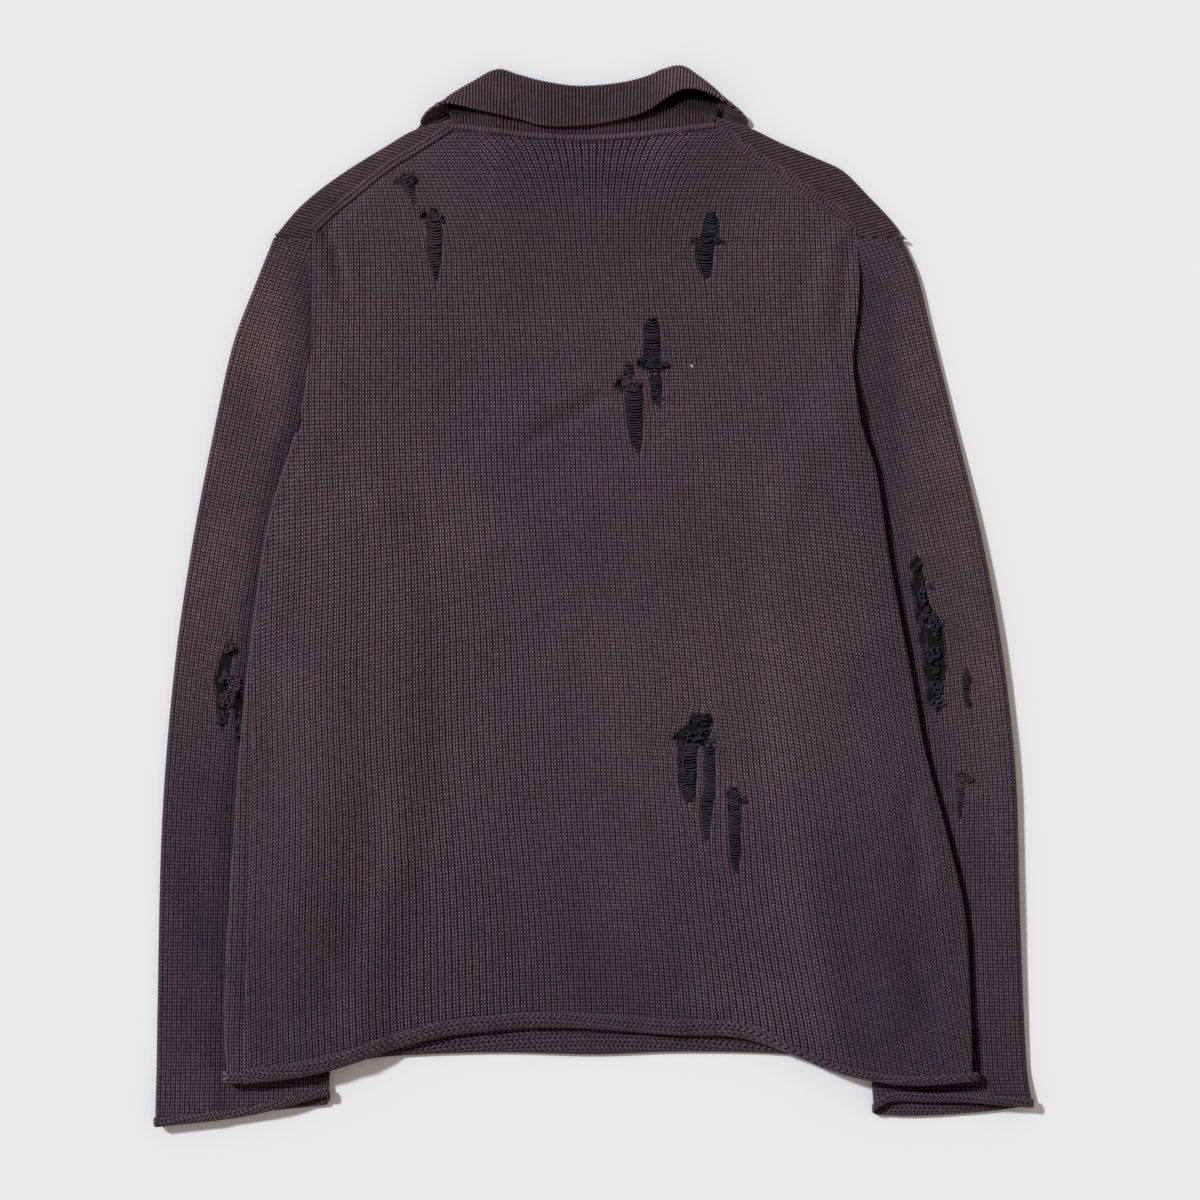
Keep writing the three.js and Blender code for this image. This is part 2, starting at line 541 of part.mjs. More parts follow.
// A raised linking seam: a crowned strip laid along a route on the cloth under it.
function linkingSeam(route, width) {
  const grid = transposed(route.map(([x, y], i) => {
    const before = route[Math.max(0, i - 1)];
    const after = route[Math.min(route.length - 1, i + 1)];
    const across = new THREE.Vector3(before[1] - after[1], after[0] - before[0], 0).normalize();
    return [-1, 0, 1].map((share) => {
      const place = new THREE.Vector3(x, y, 0).addScaledVector(across, (share * width) / 2);
      place.z = Math.max(backHeight(x, y), frontHeight(place.x, place.y) + LAYER)
        + HALF + GAP + TRIM / 2 + (share === 0 ? 2 : 1) * SEAM_CROWN;
      return place;
    });
  }));
  return clothSolid(grid, TRIM);
}

// A darn fills a ladder: [x, y, half-width] down its middle, on the cloth that `height` gives.
const DARNS = {
  darn_shoulder_left_upper: [[-135, 306, 2], [-134.5, 299, 7], [-133, 294, 3], [-130, 284, 1.5]],
  darn_shoulder_left_lower: [[-116, 279, 2], [-116, 272, 8], [-115, 265, 5], [-115, 248, 4], [-114, 229, 1.2]],
  darn_shoulder_right: [[84, 276, 2], [84, 262, 5], [82, 256, 11], [80, 249, 6.5], [82, 231, 1.2]],
  darn_middle_right: [[41, 199, 2], [42, 188, 6], [42.5, 167, 10], [45, 158, 4.5], [45, 139, 2]],
  darn_middle_left: [[25, 167, 1.5], [28, 152, 9.5], [29, 140, 6], [31, 118, 4.5], [30, 107, 1.5]],
  darn_waist_left: [[76, -84, 3], [72, -103, 12], [68, -112, 7], [68, -136, 6], [69, -146, 2]],
  darn_waist_right: [[84, -107, 3], [83.5, -120, 4.5], [83.5, -143, 4], [81, -175, 1.2]],
  darn_low: [[101.5, -138, 2], [103, -147, 6], [102, -158, 4.5], [101.5, -185, 4], [102, -197, 1.5]],
  darn_sleeve_left: [[-262, -32, 2], [-265, -44, 7], [-265, -62, 8], [-264, -84, 5], [-262.5, -96, 3]],
  darn_sleeve_right: [[233, 26, 4], [236, 2, 6.5], [243, -14, 9], [247, -40, 8], [246, -62, 7], [249, -84, 2]],
  darn_sleeve_right_small: [[269, -53, 2], [269, -60, 4], [268.5, -70, 3], [270, -80, 1.5]],
  darn_sleeve_right_low: [[266, -126, 3], [266.5, -132, 6], [264, -140, 3], [263.5, -158, 1.5]],
};
function darn(stations, height) {
  const grid = transposed(stations.map(([x, y, halfWidth]) => [-1, 0, 1].map((share) => {
    const px = x + share * halfWidth;
    return new THREE.Vector3(px, y, height(px, y) + HALF + 2 * GAP + DARN / 2);
  })));
  return clothSolid(grid, DARN);
}

// Colours of the worn, over-dyed wool
const cloth = (color) => new THREE.MeshStandardMaterial({ color, roughness: 0.95, metalness: 0 });
const BODY_COLOUR = 0x42363e;
const SLEEVE_COLOUR = 0x483b42;
const RIB_COLOUR = 0x403237;
const SEAM_COLOUR = 0x4a3d44;
const DARN_COLOUR = 0x26232c;

const sweater = new THREE.Group();
function addPiece(name, geometry, color) {
  const mesh = new THREE.Mesh(geometry, cloth(color));
  mesh.name = name;
  sweater.add(mesh);
}

addPiece('back_panel', backPanel(), BODY_COLOUR);
addPiece('front_panel', frontPanel(), BODY_COLOUR);
// Opening of each cuff at share u from its outer to its inner side
const leftMouth = (u) => MOUTH_GAP * ease((u - 0.5) / 0.3) * ease((1.15 - u) / 0.3);
const rightMouth = (u) => MOUTH_GAP * ease(u / 0.3) * ease((1.15 - u) / 0.3);
addPiece('sleeve_left',
  sleeve(-1, sleeveLeftOuter, sleeveLeftInner, bodyLeft, leftCuff, leftMouth), SLEEVE_COLOUR);
addPiece('sleeve_right',
  sleeve(1, sleeveRightOuter, sleeveRightInner, bodyRight, rightCuff, rightMouth), SLEEVE_COLOUR);
addPiece('collar', collar(), RIB_COLOUR);

const SHOULDER_SEAM_WIDTH = { left: 6.5, right: 9 };
const NECK_SEAM_WIDTH = 5.6;
const atBackTop = (x) => [x, backTop(x)];
const neckRoute = [NECK_LEFT + 3, ...WALES.filter(isNeck), NECK_RIGHT - 3].map(atBackTop);
addPiece('neck_seam', linkingSeam(neckRoute, NECK_SEAM_WIDTH), SEAM_COLOUR);
const leftRoute = [-202, ...WALES.filter((x) => x < NECK_LEFT), NECK_LEFT - 3].map(atBackTop);
addPiece('shoulder_seam_left', linkingSeam(leftRoute, SHOULDER_SEAM_WIDTH.left), SEAM_COLOUR);
const rightRoute = [NECK_RIGHT + 5, ...WALES.filter((x) => x > NECK_RIGHT), 187].map(atBackTop);
addPiece('shoulder_seam_right', linkingSeam(rightRoute, SHOULDER_SEAM_WIDTH.right), SEAM_COLOUR);

const sleeveTopHeight = (x, y) => HALF + LAYER + cuffRise(y);
Object.entries(DARNS).forEach(([name, stations]) => {
  const height = name.includes('sleeve') ? sleeveTopHeight : onBack;
  addPiece(name, darn(stations, height), DARN_COLOUR);
});

// The origin is under the middle of the sweater's box.
const box = new THREE.Box3().setFromObject(sweater);
const middle = box.getCenter(new THREE.Vector3());
sweater.position.set(-middle.x, -middle.y, -box.min.z);

export default sweater;
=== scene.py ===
"""A darned wool sweater lying flat with its back up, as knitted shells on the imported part's form.

Heights, outlines and folds are worked out in millimetres in the part's own frame: X runs across
the sweater, Y from hem to collar and Z up off the table. Meshes are made in metres.
"""

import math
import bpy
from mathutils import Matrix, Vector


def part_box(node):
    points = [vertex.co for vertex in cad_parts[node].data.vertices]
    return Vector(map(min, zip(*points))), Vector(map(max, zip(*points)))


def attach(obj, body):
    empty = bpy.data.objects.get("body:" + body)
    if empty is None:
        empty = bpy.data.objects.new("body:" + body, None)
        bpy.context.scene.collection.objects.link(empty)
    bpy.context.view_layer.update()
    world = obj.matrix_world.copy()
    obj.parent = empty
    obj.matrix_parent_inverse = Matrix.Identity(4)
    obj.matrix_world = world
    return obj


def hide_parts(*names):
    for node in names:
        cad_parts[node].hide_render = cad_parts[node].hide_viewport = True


bl_info = {
    "name": "Darned wool sweater",
    "version": (1, 0, 0),
    "blender": (4, 5, 0),
    "location": "View3D > Sidebar > Sweater",
    "description": "Knitted shells, rolled edges, rib collar, linking seams and darns of a laid-out sweater",
    "category": "Object",
}

import bpy
import numpy as np

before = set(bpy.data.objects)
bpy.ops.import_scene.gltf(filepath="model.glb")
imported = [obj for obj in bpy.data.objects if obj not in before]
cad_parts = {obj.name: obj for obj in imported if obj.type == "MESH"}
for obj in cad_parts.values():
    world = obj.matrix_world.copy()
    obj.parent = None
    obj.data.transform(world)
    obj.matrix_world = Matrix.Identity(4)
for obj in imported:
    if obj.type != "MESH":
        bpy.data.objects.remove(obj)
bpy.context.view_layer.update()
MM = 0.001

# The part's frame is shifted so that its origin is under the middle of the box. The lowest darn on
# the back is 97 to 109 mm across in the sweater's own sizes, so its box gives the shift.
DARN_LOW_X, DARN_LOW_Y = 97.0, -197.0
_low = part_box("darn_low")[0]
SHIFT = (_low[0] / MM - DARN_LOW_X, _low[1] / MM - DARN_LOW_Y)

# Cloth and layering, as in the part
CLOTH = 2.4
HALF = CLOTH / 2
GAP = 0.3
FOLD = 1.5
LAYER = 2 * FOLD
AIR = 1.4
UNDERARM = 125.0
SLEEVE_TOP = 259.0
NECK_LEFT, NECK_RIGHT = -103.0, 88.0
WRAP_TOP = 118.0
RIGHT_FOLD = 2.2
RIGHT_STRIP = 12.0
RIGHT_STANDOFF = 4.5
CREASE_DEPTH = 1.4
WIDEST_RUNG = 7.5
ARMHOLE_LEFT, ARMHOLE_RIGHT = -204.5, 190.5
# Rows round each rolled edge, and passes in which an outline and its heights settle
HEM_ROWS, FRONT_ROWS, CUFF_ROWS = 16, 12, 14
SETTLING = 6
BACK_ROLL = {"wide": 4.8, "slim": 2.4, "high": 2.6, "from": 115.0, "to": 150.0}
FRONT_ROLL = {"along": 2.6, "high": 1.8}
CUFF_ROLL = {"along": 2.3, "high": 1.7}


def ease(t):
    t = np.clip(t, 0.0, 1.0)
    return t * t * (3.0 - 2.0 * t)


def lerp(a, b, t):
    return a + (b - a) * t


def through(points):
    """A smooth curve through given points (at, value), in rising order of `at`."""
    at = np.array([p[0] for p in points], float)
    value = np.array([p[1] for p in points], float)
    slope = np.gradient(value, at)
    slope[1:-1] = (value[2:] - value[:-2]) / (at[2:] - at[:-2])

    def curve(x):
        x = np.asarray(x, float)
        i = np.clip(np.searchsorted(at, x, side="right") - 1, 0, len(at) - 2)
        span = at[i + 1] - at[i]
        t = np.clip((x - at[i]) / span, 0.0, 1.0)
        t2, t3 = t * t, t * t * t
        return ((2 * t3 - 3 * t2 + 1) * value[i] + (t3 - 2 * t2 + t) * span * slope[i]
                + (3 * t2 - 2 * t3) * value[i + 1] + (t3 - t2) * span * slope[i + 1])
    return curve


# Outlines: X of an edge at height Y
body_left = through([(-350, -264), (-300, -267), (-200, -262), (-90, -254), (0, -244), (60, -234),
                     (105, -220), (145, -208), (200, -206), (265, -205)])
body_right = through([(-350, 272), (-300, 271), (-230, 267), (-175, 255), (-110, 238), (-55, 228),
                      (25, 213), (90, 203), (125, 192), (165, 186), (215, 190), (265, 191)])
sleeve_left_outer = through([(-380, -316.5), (-300, -315.5), (-160, -312), (-50, -303), (40, -290),
                             (130, -272.5), (185, -260), (230, -243), (260, -231)])
sleeve_right_outer = through([(-375, 317), (-340, 312), (-230, 307), (-130, 304), (-45, 295),
                              (40, 280), (130, 258.5), (200, 241), (235, 232), (260, 221)])
sleeve_left_inner = through([(-380, -192), (-300, -186), (-200, -168), (-80, -152), (0, -156),
                             (60, -172), (95, -190), (125, -211)])
sleeve_right_inner = through([(-380, 201), (-300, 194), (-200, 176), (-80, 158), (0, 158),
                              (60, 164), (95, 175), (125, 189)])

# Outlines: Y of an edge at X
back_hem = through([(-267, -351), (-230, -348), (-195, -342), (-165, -333), (-140, -325), (-108, -317),
                    (-75, -313), (-38, -310.5), (5, -312), (53, -315.5), (105, -318), (145, -331),
                    (170, -341), (200, -348), (232, -351), (272, -348)])
front_hem = through([(-267, -349), (-200, -339), (-150, -333), (-72, -330), (0, -331.5),
                     (62, -329.5), (140, -331.5), (200, -341), (272, -347)])
shoulder_left = through([(-231, 260), (-212, 282), (-185, 303.5), (-150, 325), (-131, 336), (-103, 344)])
shoulder_right = through([(88, 346), (111, 338.5), (135, 327), (164, 315), (180, 307), (197, 290),
                          (214, 272), (222, 261)])
back_shoulder_left = through([(-205, 263), (-190, 277), (-168, 295), (-146, 312), (-128, 323), (-103, 339)])
back_shoulder_right = through([(88, 340), (110, 322), (132, 307), (156, 291), (173, 280), (191, 264)])
back_neck = through([(-103, 339), (-71, 335.5), (-40, 332.5), (-5, 331), (30, 333), (60, 336.5), (88, 340)])
front_neck = through([(-103, 259.2), (-85, 250), (-60, 241), (-15, 235), (10, 235), (45, 241),
                      (70, 250), (88, 259.2)])
LEFT_CUFF = (through([(-317, -382), (-257, -375.5), (-231, -370), (-192, -360)]),
             through([(-317, -381.5), (-240, -373), (-192, -368)]))
RIGHT_CUFF = (through([(200, -370), (212, -364), (240, -364), (280, -365), (317, -368)]),
              through([(200, -375), (230, -376), (281, -373), (317, -369)]))
left_strip = through([(-350, 10), (-290, 13), (-200, 11), (-100, 6), (-20, 0.5), (120, 0.5)])

LEAF_AREA = [(-131, 334), (-143, 316), (-148, 292), (-146, 262), (-132, 232), (-106, 211), (-60, 196),
             (-15, 192), (0, 192), (45, 196), (91, 211), (117, 232), (131, 262), (133, 292), (128, 316),
             (116, 334), (96, 350), (72, 336), (64, 305), (58, 280), (36, 268), (4, 260), (-15, 260),
             (-51, 268), (-73, 280), (-79, 305), (-87, 336), (-111, 350)]


def sleeve_area(inner, far):
    rows = np.linspace(-380, UNDERARM, 15)
    return [(float(inner(y)), y) for y in rows] + [(far, UNDERARM), (far, -380)]


SLEEVE_AREAS = [sleeve_area(sleeve_left_inner, -330), sleeve_area(sleeve_right_inner, 330)]


def route_distance(route, x, y):
    """Plan distance from a route of straight stretches, and how far along it (0 to 1) the nearest point is."""
    nearest = np.full(np.shape(x), np.inf)
    share = np.zeros(np.shape(x))
    count = len(route) - 1
    for i in range(count):
        (ax, ay), (bx, by) = route[i], route[i + 1]
        dx, dy = bx - ax, by - ay
        t = np.clip(((x - ax) * dx + (y - ay) * dy) / (dx * dx + dy * dy), 0, 1)
        distance = np.hypot(x - ax - dx * t, y - ay - dy * t)
        closer = distance < nearest
        nearest = np.where(closer, distance, nearest)
        share = np.where(closer, (i + t) / count, share)
    return nearest, share


def clearance(outline, x, y):
    """How far plan points lie outside a closed outline: 0 inside it."""
    inside = np.zeros(np.shape(x), bool)
    for i, (ax, ay) in enumerate(outline):
        bx, by = outline[(i + 1) % len(outline)]
        if ay == by:
            continue
        crosses = (ay > y) != (by > y)
        inside ^= crosses & (x < ax + (bx - ax) * (y - ay) / (by - ay))
    distance, _ = route_distance(list(outline) + [outline[0]], x, y)
    return np.where(inside, 0.0, distance)


def cuff_rise(y):
    return (2 * CUFF_ROLL["high"] + GAP) * ease((-335 - y) / 35)


def bed(x, y):
    """Height of what lies under the front: sleeves at the sides, the collar's leaves near the neck."""
    sleeve = np.maximum(*[ease(1 - (clearance(area, x, y) - 14) / 36) for area in SLEEVE_AREAS])
    leaf = ease(1 - (clearance(LEAF_AREA, x, y) - 4) / 34)
    return np.maximum((CLOTH + LAYER + 2 * GAP + cuff_rise(y - 10)) * sleeve, LAYER * leaf)


def front_height(x, y):
    return HALF + bed(x, y) + 2 * FRONT_ROLL["high"] * ease(1 - (y - front_hem(x) - 10) / 50)


# The part's long soft folds in the back: (route, half-width, height)
BACK_FOLDS = [
    ([(-190, -50), (-182, -110), (-212, -227)], 22, 3.2),
    ([(-158, 60), (-150, -60), (-170, -210)], 26, 1.6),
    ([(0, 60), (-40, 45), (-95, 20)], 22, 1.8),
    ([(150, 240), (140, 120), (150, 20)], 22, 2.2),
    ([(215, -110), (222, -190), (214, -300)], 22, 2.6),
    ([(110, -60), (140, -180), (150, -290)], 26, 1.8),
]
# Finer creases: (route, half-width, height); a negative height is a trough
BACK_CREASES = [
    ([(-200, 271), (-191, 254), (-186, 240), (-180, 214)], 5, -2.9),
    ([(-184, 280), (-178, 250), (-168, 205)], 8, 1.2),
    ([(-205, 262), (-201, 240), (-198, 200)], 6, 1.3),
    ([(-158, -120), (-161, -200), (-182, -288)], 13, -2.2),
    ([(-232, -10), (-236, -90), (-240, -170)], 11, -1.2),
    ([(14, 150), (-25, 125), (-60, 103)], 6, -2.0),
    ([(12, 163), (-25, 141), (-66, 122)], 9, 1.1),
    ([(92, 256), (112, 251), (132, 252)], 4, -1.1),
    ([(92, 263), (116, 261), (138, 263)], 6, 0.6),
    ([(178, 272), (168, 232), (160, 186)], 7, 2.0),
    ([(186, 262), (180, 220), (174, 176)], 5, -1.7),
    ([(160, 278), (152, 240), (146, 200)], 6, -0.9),
    ([(252, -118), (243, -150), (252, -184), (246, -222)], 8, 1.5),
    ([(232, -122), (226, -156), (234, -190), (228, -226)], 8, -1.4),
    ([(222, -250), (236, -282), (246, -316)], 9, -2.0),
    ([(204, -262), (214, -294), (222, -322)], 10, 1.0),
    ([(-197, -258), (-191, -284), (-186, -312)], 7, -1.8),
    ([(-222, -264), (-218, -300), (-210, -330)], 9, 1.1),
    ([(-60, 322), (-5, 317), (50, 322)], 6, -0.7),
    ([(170, 120), (150, 60), (142, -10)], 12, -1.3),
    ([(-196, 130), (-170, 70), (-160, 10)], 11, -1.2),
    ([(-20, -150), (-30, -220), (-24, -290)], 20, 0.9),
    ([(60, -210), (66, -260), (60, -305)], 12, -0.8),
]


def relief(routes, x, y):
    """Sum of soft ridges and troughs, dying away at each end of its route."""
    total = np.zeros(np.shape(x))
    for route, half_width, height in routes:
        distance, share = route_distance(route, x, y)
        ends = ease(share / 0.25) * ease((1 - share) / 0.25)
        total += height * np.exp(-(distance / half_width) ** 2) * ends
    return total


def back_top(x):
    left = back_shoulder_left(x)
    right = back_shoulder_right(x)
    return np.where(x < NECK_LEFT, left, np.where(x > NECK_RIGHT, right, back_neck(x)))


def back_height(x, y, fine=True):
    """Middle of the back's cloth, as in the part, with the finer creases added."""
    edge = np.minimum(x - body_left(y), body_right(y) - x)
    right_lift = 2 * (RIGHT_FOLD - FOLD) * ease(1 - (body_right(y) - x - 4) / 40) * ease((140 - y) / 30)
    inland = np.minimum(np.minimum(edge, back_top(x) - y), y - back_hem(x) - 10)
    height = front_height(x, y) + LAYER + right_lift + AIR * ease((inland - 4) / 14)
    folds = np.max([rise * ease(1 - route_distance(route, x, y)[0] / (2 * half))
                    for route, half, rise in BACK_FOLDS], axis=0)
    height = height + folds * ease((inland - 12) / 30)
    if fine:
        uneven = (0.35 * np.sin(x / 17 + 1.3 * np.sin(y / 43)) * np.sin(y / 29 + 0.8 * np.sin(x / 37))
                  + 0.25 * np.sin(x / 9.5 + y / 61 + 2) * np.sin(y / 47 + 1))
        height = height + (CREASE_DEPTH * relief(BACK_CREASES, x, y) + uneven) * ease((inland - 1) / 12)
    return height


def right_edge_lift(x, y):
    """The back stands off the right sleeve along its edge, which leaves a dark gap beside it."""
    inland = body_right(y) - x
    along = ease((252 - y) / 30) * lerp(0.35, 1.0, ease((y - 90) / 40)) * ease((y + 345) / 40)
    return RIGHT_STANDOFF * along * ease(1 - inland / 45)


# Darns. Columns are ladders filled with rungs: (stations (x, y, half-width) from top to bottom).
BACK_COLUMNS = {
    "shoulder_left_upper": [[(-134.5, 303.5, 2.4), (-133.5, 297, 4.2), (-131.5, 291, 2.4), (-129.5, 284, 1.2)]],
    "shoulder_left_lower": [[(-116, 270, 4.4), (-114.6, 264, 4.9), (-114.6, 247, 4.8), (-114.2, 239, 3.2),
                             (-114, 228.5, 1.2)]],
    "shoulder_right": [[(84.5, 275.5, 2.6), (84.5, 271, 4.8), (84, 260, 5.4)],
                       [(81, 254.5, 5.6), (79.7, 250, 6.5), (79.7, 240, 5.8), (81, 230, 2.0)]],
    "middle_right": [[(42, 199.5, 3.0), (41.8, 195, 5.3), (41.8, 171, 6.1), (43, 163, 5.6)],
                     [(45, 159, 4.0), (45, 146, 3.6), (45, 139, 2.2)]],
    "middle_left": [[(25.3, 166.5, 3.0), (25.5, 157, 4.2)],
                    [(28.5, 150, 5.8), (29, 144, 6.4), (29.5, 125, 5.6), (30.6, 111, 4.0), (31.9, 104, 1.0)]],
    "waist_left": [[(78, -86, 7.6), (76, -93, 8.4), (71.5, -98, 12.0), (70.5, -107, 11.0)],
                   [(67.7, -107, 6.6), (67.5, -130, 6.5), (68.5, -147, 3.8)]],
    "waist_right": [[(83.2, -109, 3.6), (83.4, -141, 4.0), (81.5, -150, 4.4), (81, -165, 3.0), (81, -176, 1.0)]],
    "low": [[(100.5, -138.5, 3.2), (101.7, -156, 4.0), (101.7, -186, 3.8), (102, -198, 1.6)]],
}
SLEEVE_COLUMNS = {
    "sleeve_left": [[(-262, -31, 1.2), (-265, -42, 4.4), (-269, -60, 5.0), (-268, -84, 3.4), (-268, -97, 0.8)],
                    [(-257, -70, 3.0), (-256.5, -88, 3.2), (-256.5, -108, 0.6)]],
    "sleeve_right": [[(233, 27, 3.4), (234, 10, 4.0), (237, -6, 5.5), (244, -20, 6.5)],
                     [(245, -24, 6.8), (247, -42, 6.6), (246, -62, 6.0), (249, -85, 0.8)]],
    "sleeve_right_small": [[(269, -52, 1.0), (269, -60, 2.4), (268, -70, 2.6), (270, -81, 0.8)]],
    "sleeve_right_low": [[(265, -130, 3.0), (264, -142, 2.6), (263.5, -159, 0.8)]],
}
# Darns with no rungs left, only tangles
TANGLED = ("sleeve_left", "sleeve_right")
# Tangles of darning yarn: (x, y, half-width, half-height)
BACK_TANGLES = {
    "shoulder_left_upper": [(-135, 298.5, 6.5, 2.6), (-134, 304, 2.5, 3.0)],
    "shoulder_left_lower": [(-116, 272.5, 8.0, 3.0), (-117, 277, 3.5, 2.5)],
    "shoulder_right": [(82, 256, 11.5, 2.6), (84, 272, 2.5, 3.0)],
    "middle_right": [(37, 168, 6.0, 2.6), (50, 166.5, 5.0, 2.4), (44, 158, 5.0, 3.5), (46, 141, 3.0, 3.0)],
    "middle_left": [(27, 152, 9.5, 3.6), (23, 161, 3.0, 3.5)],
    "waist_left": [(76, -89, 7.5, 4.5), (79, -97, 6.0, 4.0), (69, -100, 9.5, 4.5), (64, -108, 5.5, 4.0),
                   (63.5, -124, 2.0, 13.0), (71.5, -126, 2.0, 11.0), (68, -143, 5.5, 3.5)],
    "waist_right": [(82, -105, 5.0, 3.5)],
    "low": [(101.5, -143, 3.5, 3.5), (106, -147, 3.5, 2.2)],
}
SLEEVE_TANGLES = {
    "sleeve_left": [(-263, -37, 3.5, 3.5), (-265.5, -55, 4.0, 7.0), (-266.5, -72, 4.0, 8.0), (-268.5, -88, 3.0, 7.0),
                    (-256, -93, 2.6, 13.0), (-259, -62, 2.0, 8.0)],
    "sleeve_right": [(233.5, 19, 3.2, 7.0), (236, 3, 3.4, 9.0), (238, -13, 3.6, 9.0), (246.5, -21, 6.5, 10.0),
                     (245, -42, 5.0, 9.0), (247.5, -60, 5.5, 10.0), (248, -74, 5.0, 8.0), (242, 7, 1.6, 2.0)],
    "sleeve_right_small": [(269.5, -59, 4.0, 3.0)],
    "sleeve_right_low": [(267, -131, 6.0, 2.6), (263, -137, 2.5, 3.5)],
}


# Holes left open in the knit: (x, y, half-width, half-height)
BACK_HOLES = [
    (-136.5, 301, 2.6, 2.6), (-128.5, 299, 2.6, 2.4), (-141, 298.5, 2.6, 1.6), (-134, 297, 3.0, 1.8),
    (-122, 274, 2.6, 3.0), (-118.5, 271, 2.2, 3.4), (-109.5, 271, 2.8, 2.6), (-114, 276, 2.4, 2.6),
    (79, 257, 4.4, 2.8), (90, 255.5, 2.8, 2.2), (72, 255.5, 2.8, 1.6), (85, 254.5, 3.0, 1.6), (94, 254, 1.6, 1.0),
    (36.3, 167, 4.6, 3.6), (49.5, 165.7, 4.8, 2.0), (44, 146, 3.6, 2.0), (33, 168.5, 2.4, 1.6), (54, 165, 2.2, 1.2),
    (19.7, 152.5, 3.0, 5.2), (26, 148, 4.2, 2.4), (31.5, 152, 3.8, 2.4), (36.5, 150, 2.6, 1.2), (16, 152, 1.8, 1.6),
    (83.5, -90, 3.0, 5.0), (72, -91, 2.2, 2.2), (59.6, -102, 3.4, 2.4), (68.2, -110, 2.2, 3.2), (64.5, -134, 2.2, 2.2),
    (78, -99, 3.0, 2.2), (66, -100, 2.4, 1.8), (100, -145, 3.6, 6.0), (108.4, -148, 1.8, 2.2), (98.5, -152, 1.8, 5.0),
    (104, -146.5, 3.4, 1.4),
]
SLEEVE_HOLES = [
    (-263, -42.5, 3.6, 4.6), (-268, -53, 1.8, 5.0), (-258, -40, 2.2, 2.2), (-254.7, -75.5, 2.8, 3.2),
    (-257.8, -81.5, 2.0, 6.0), (-270.3, -80, 2.2, 1.6), (-266, -64, 1.8, 1.8),
    (230.5, 22, 2.6, 6.0), (231.5, 6, 2.6, 8.0), (234, -10, 2.6, 9.0), (237, -28, 2.6, 11.0), (239.5, -48, 2.4, 12.0),
    (242, -70, 2.0, 10.0), (240, -14, 3.0, 1.6), (252.5, -52, 2.0, 5.0), (248, -22, 3.0, 1.6),
    (269.6, -61, 3.0, 4.0), (268.7, -70, 1.1, 6.0), (271, -78, 2.6, 2.0),
    (265, -129, 4.0, 2.0), (271.6, -133, 2.6, 2.4), (264.2, -146, 1.2, 10.0),
]


def hole_mask(holes, x, y):
    """1 inside the open holes, whose edges are ragged."""
    total = np.zeros(np.shape(x))
    for hx, hy, wide, high in holes:
        dx, dy = (x - hx) / wide, (y - hy) / high
        turn = np.arctan2(dy, dx)
        ragged = 1.0 + 0.16 * np.sin(3 * turn + hx) + 0.12 * np.sin(5 * turn + hy)
        total = np.maximum(total, ease((ragged - np.hypot(dx, dy)) * 1.6 + 0.45))
    return total


def column_shape(stations, y, taper=1.6):
    """Middle and half-width of a ladder at heights y, closing within the taper beyond its ends."""
    rows = sorted((s[1], s[0], s[2]) for s in stations)
    at = [r[0] for r in rows]
    middle = np.interp(y, at, [r[1] for r in rows])
    half = np.interp(y, at, [r[2] for r in rows])
    beyond = np.maximum(at[0] - y, y - at[-1])
    return middle, half * ease(1 - beyond / taper)


def ladder_fields(groups, x, y):
    """How far the wales are pushed aside round every ladder, and how deep inside one a point is."""
    push = np.zeros(np.shape(x))
    inside = np.zeros(np.shape(x))
    lip = np.zeros(np.shape(x))
    for columns in groups.values():
        for stations in columns:
            middle, spread = column_shape(stations, y, 9.0)
            side = x - middle
            away = np.maximum(np.abs(side) - spread, 0)
            give = 0.6 * spread
            push += side * give / (np.abs(side) + give + 0.01) * np.exp(-away / 11.0)
            half = column_shape(stations, y)[1]
            inside = np.maximum(inside, ease((half - np.abs(side)) / 1.4 + 0.5) * ease(half / 1.2))
            lip = np.maximum(lip, np.exp(-((np.abs(side) - half - 2.0) / 2.0) ** 2) * ease(half / 3.0))
    return push, inside, lip


# ---------------------------------------------------------------- meshes


def quad_mesh(name, points, index):
    """Smooth quads on points in the sweater's millimetres."""
    place = (points + np.array([*SHIFT, 0.0])) * MM
    mesh = bpy.data.meshes.new(name)
    mesh.vertices.add(len(place))
    mesh.vertices.foreach_set("co", place.astype(np.float32).ravel())
    mesh.loops.add(index.size)
    mesh.loops.foreach_set("vertex_index", index.astype(np.int32).ravel())
    mesh.polygons.add(len(index))
    mesh.polygons.foreach_set("loop_start", np.arange(0, index.size, 4, dtype=np.int32))
    mesh.polygons.foreach_set("use_smooth", np.ones(len(index), bool))
    return mesh


def linked(name, data):
    """A new object in the scene."""
    thing = bpy.data.objects.new(name, data)
    bpy.context.scene.collection.objects.link(thing)
    return thing


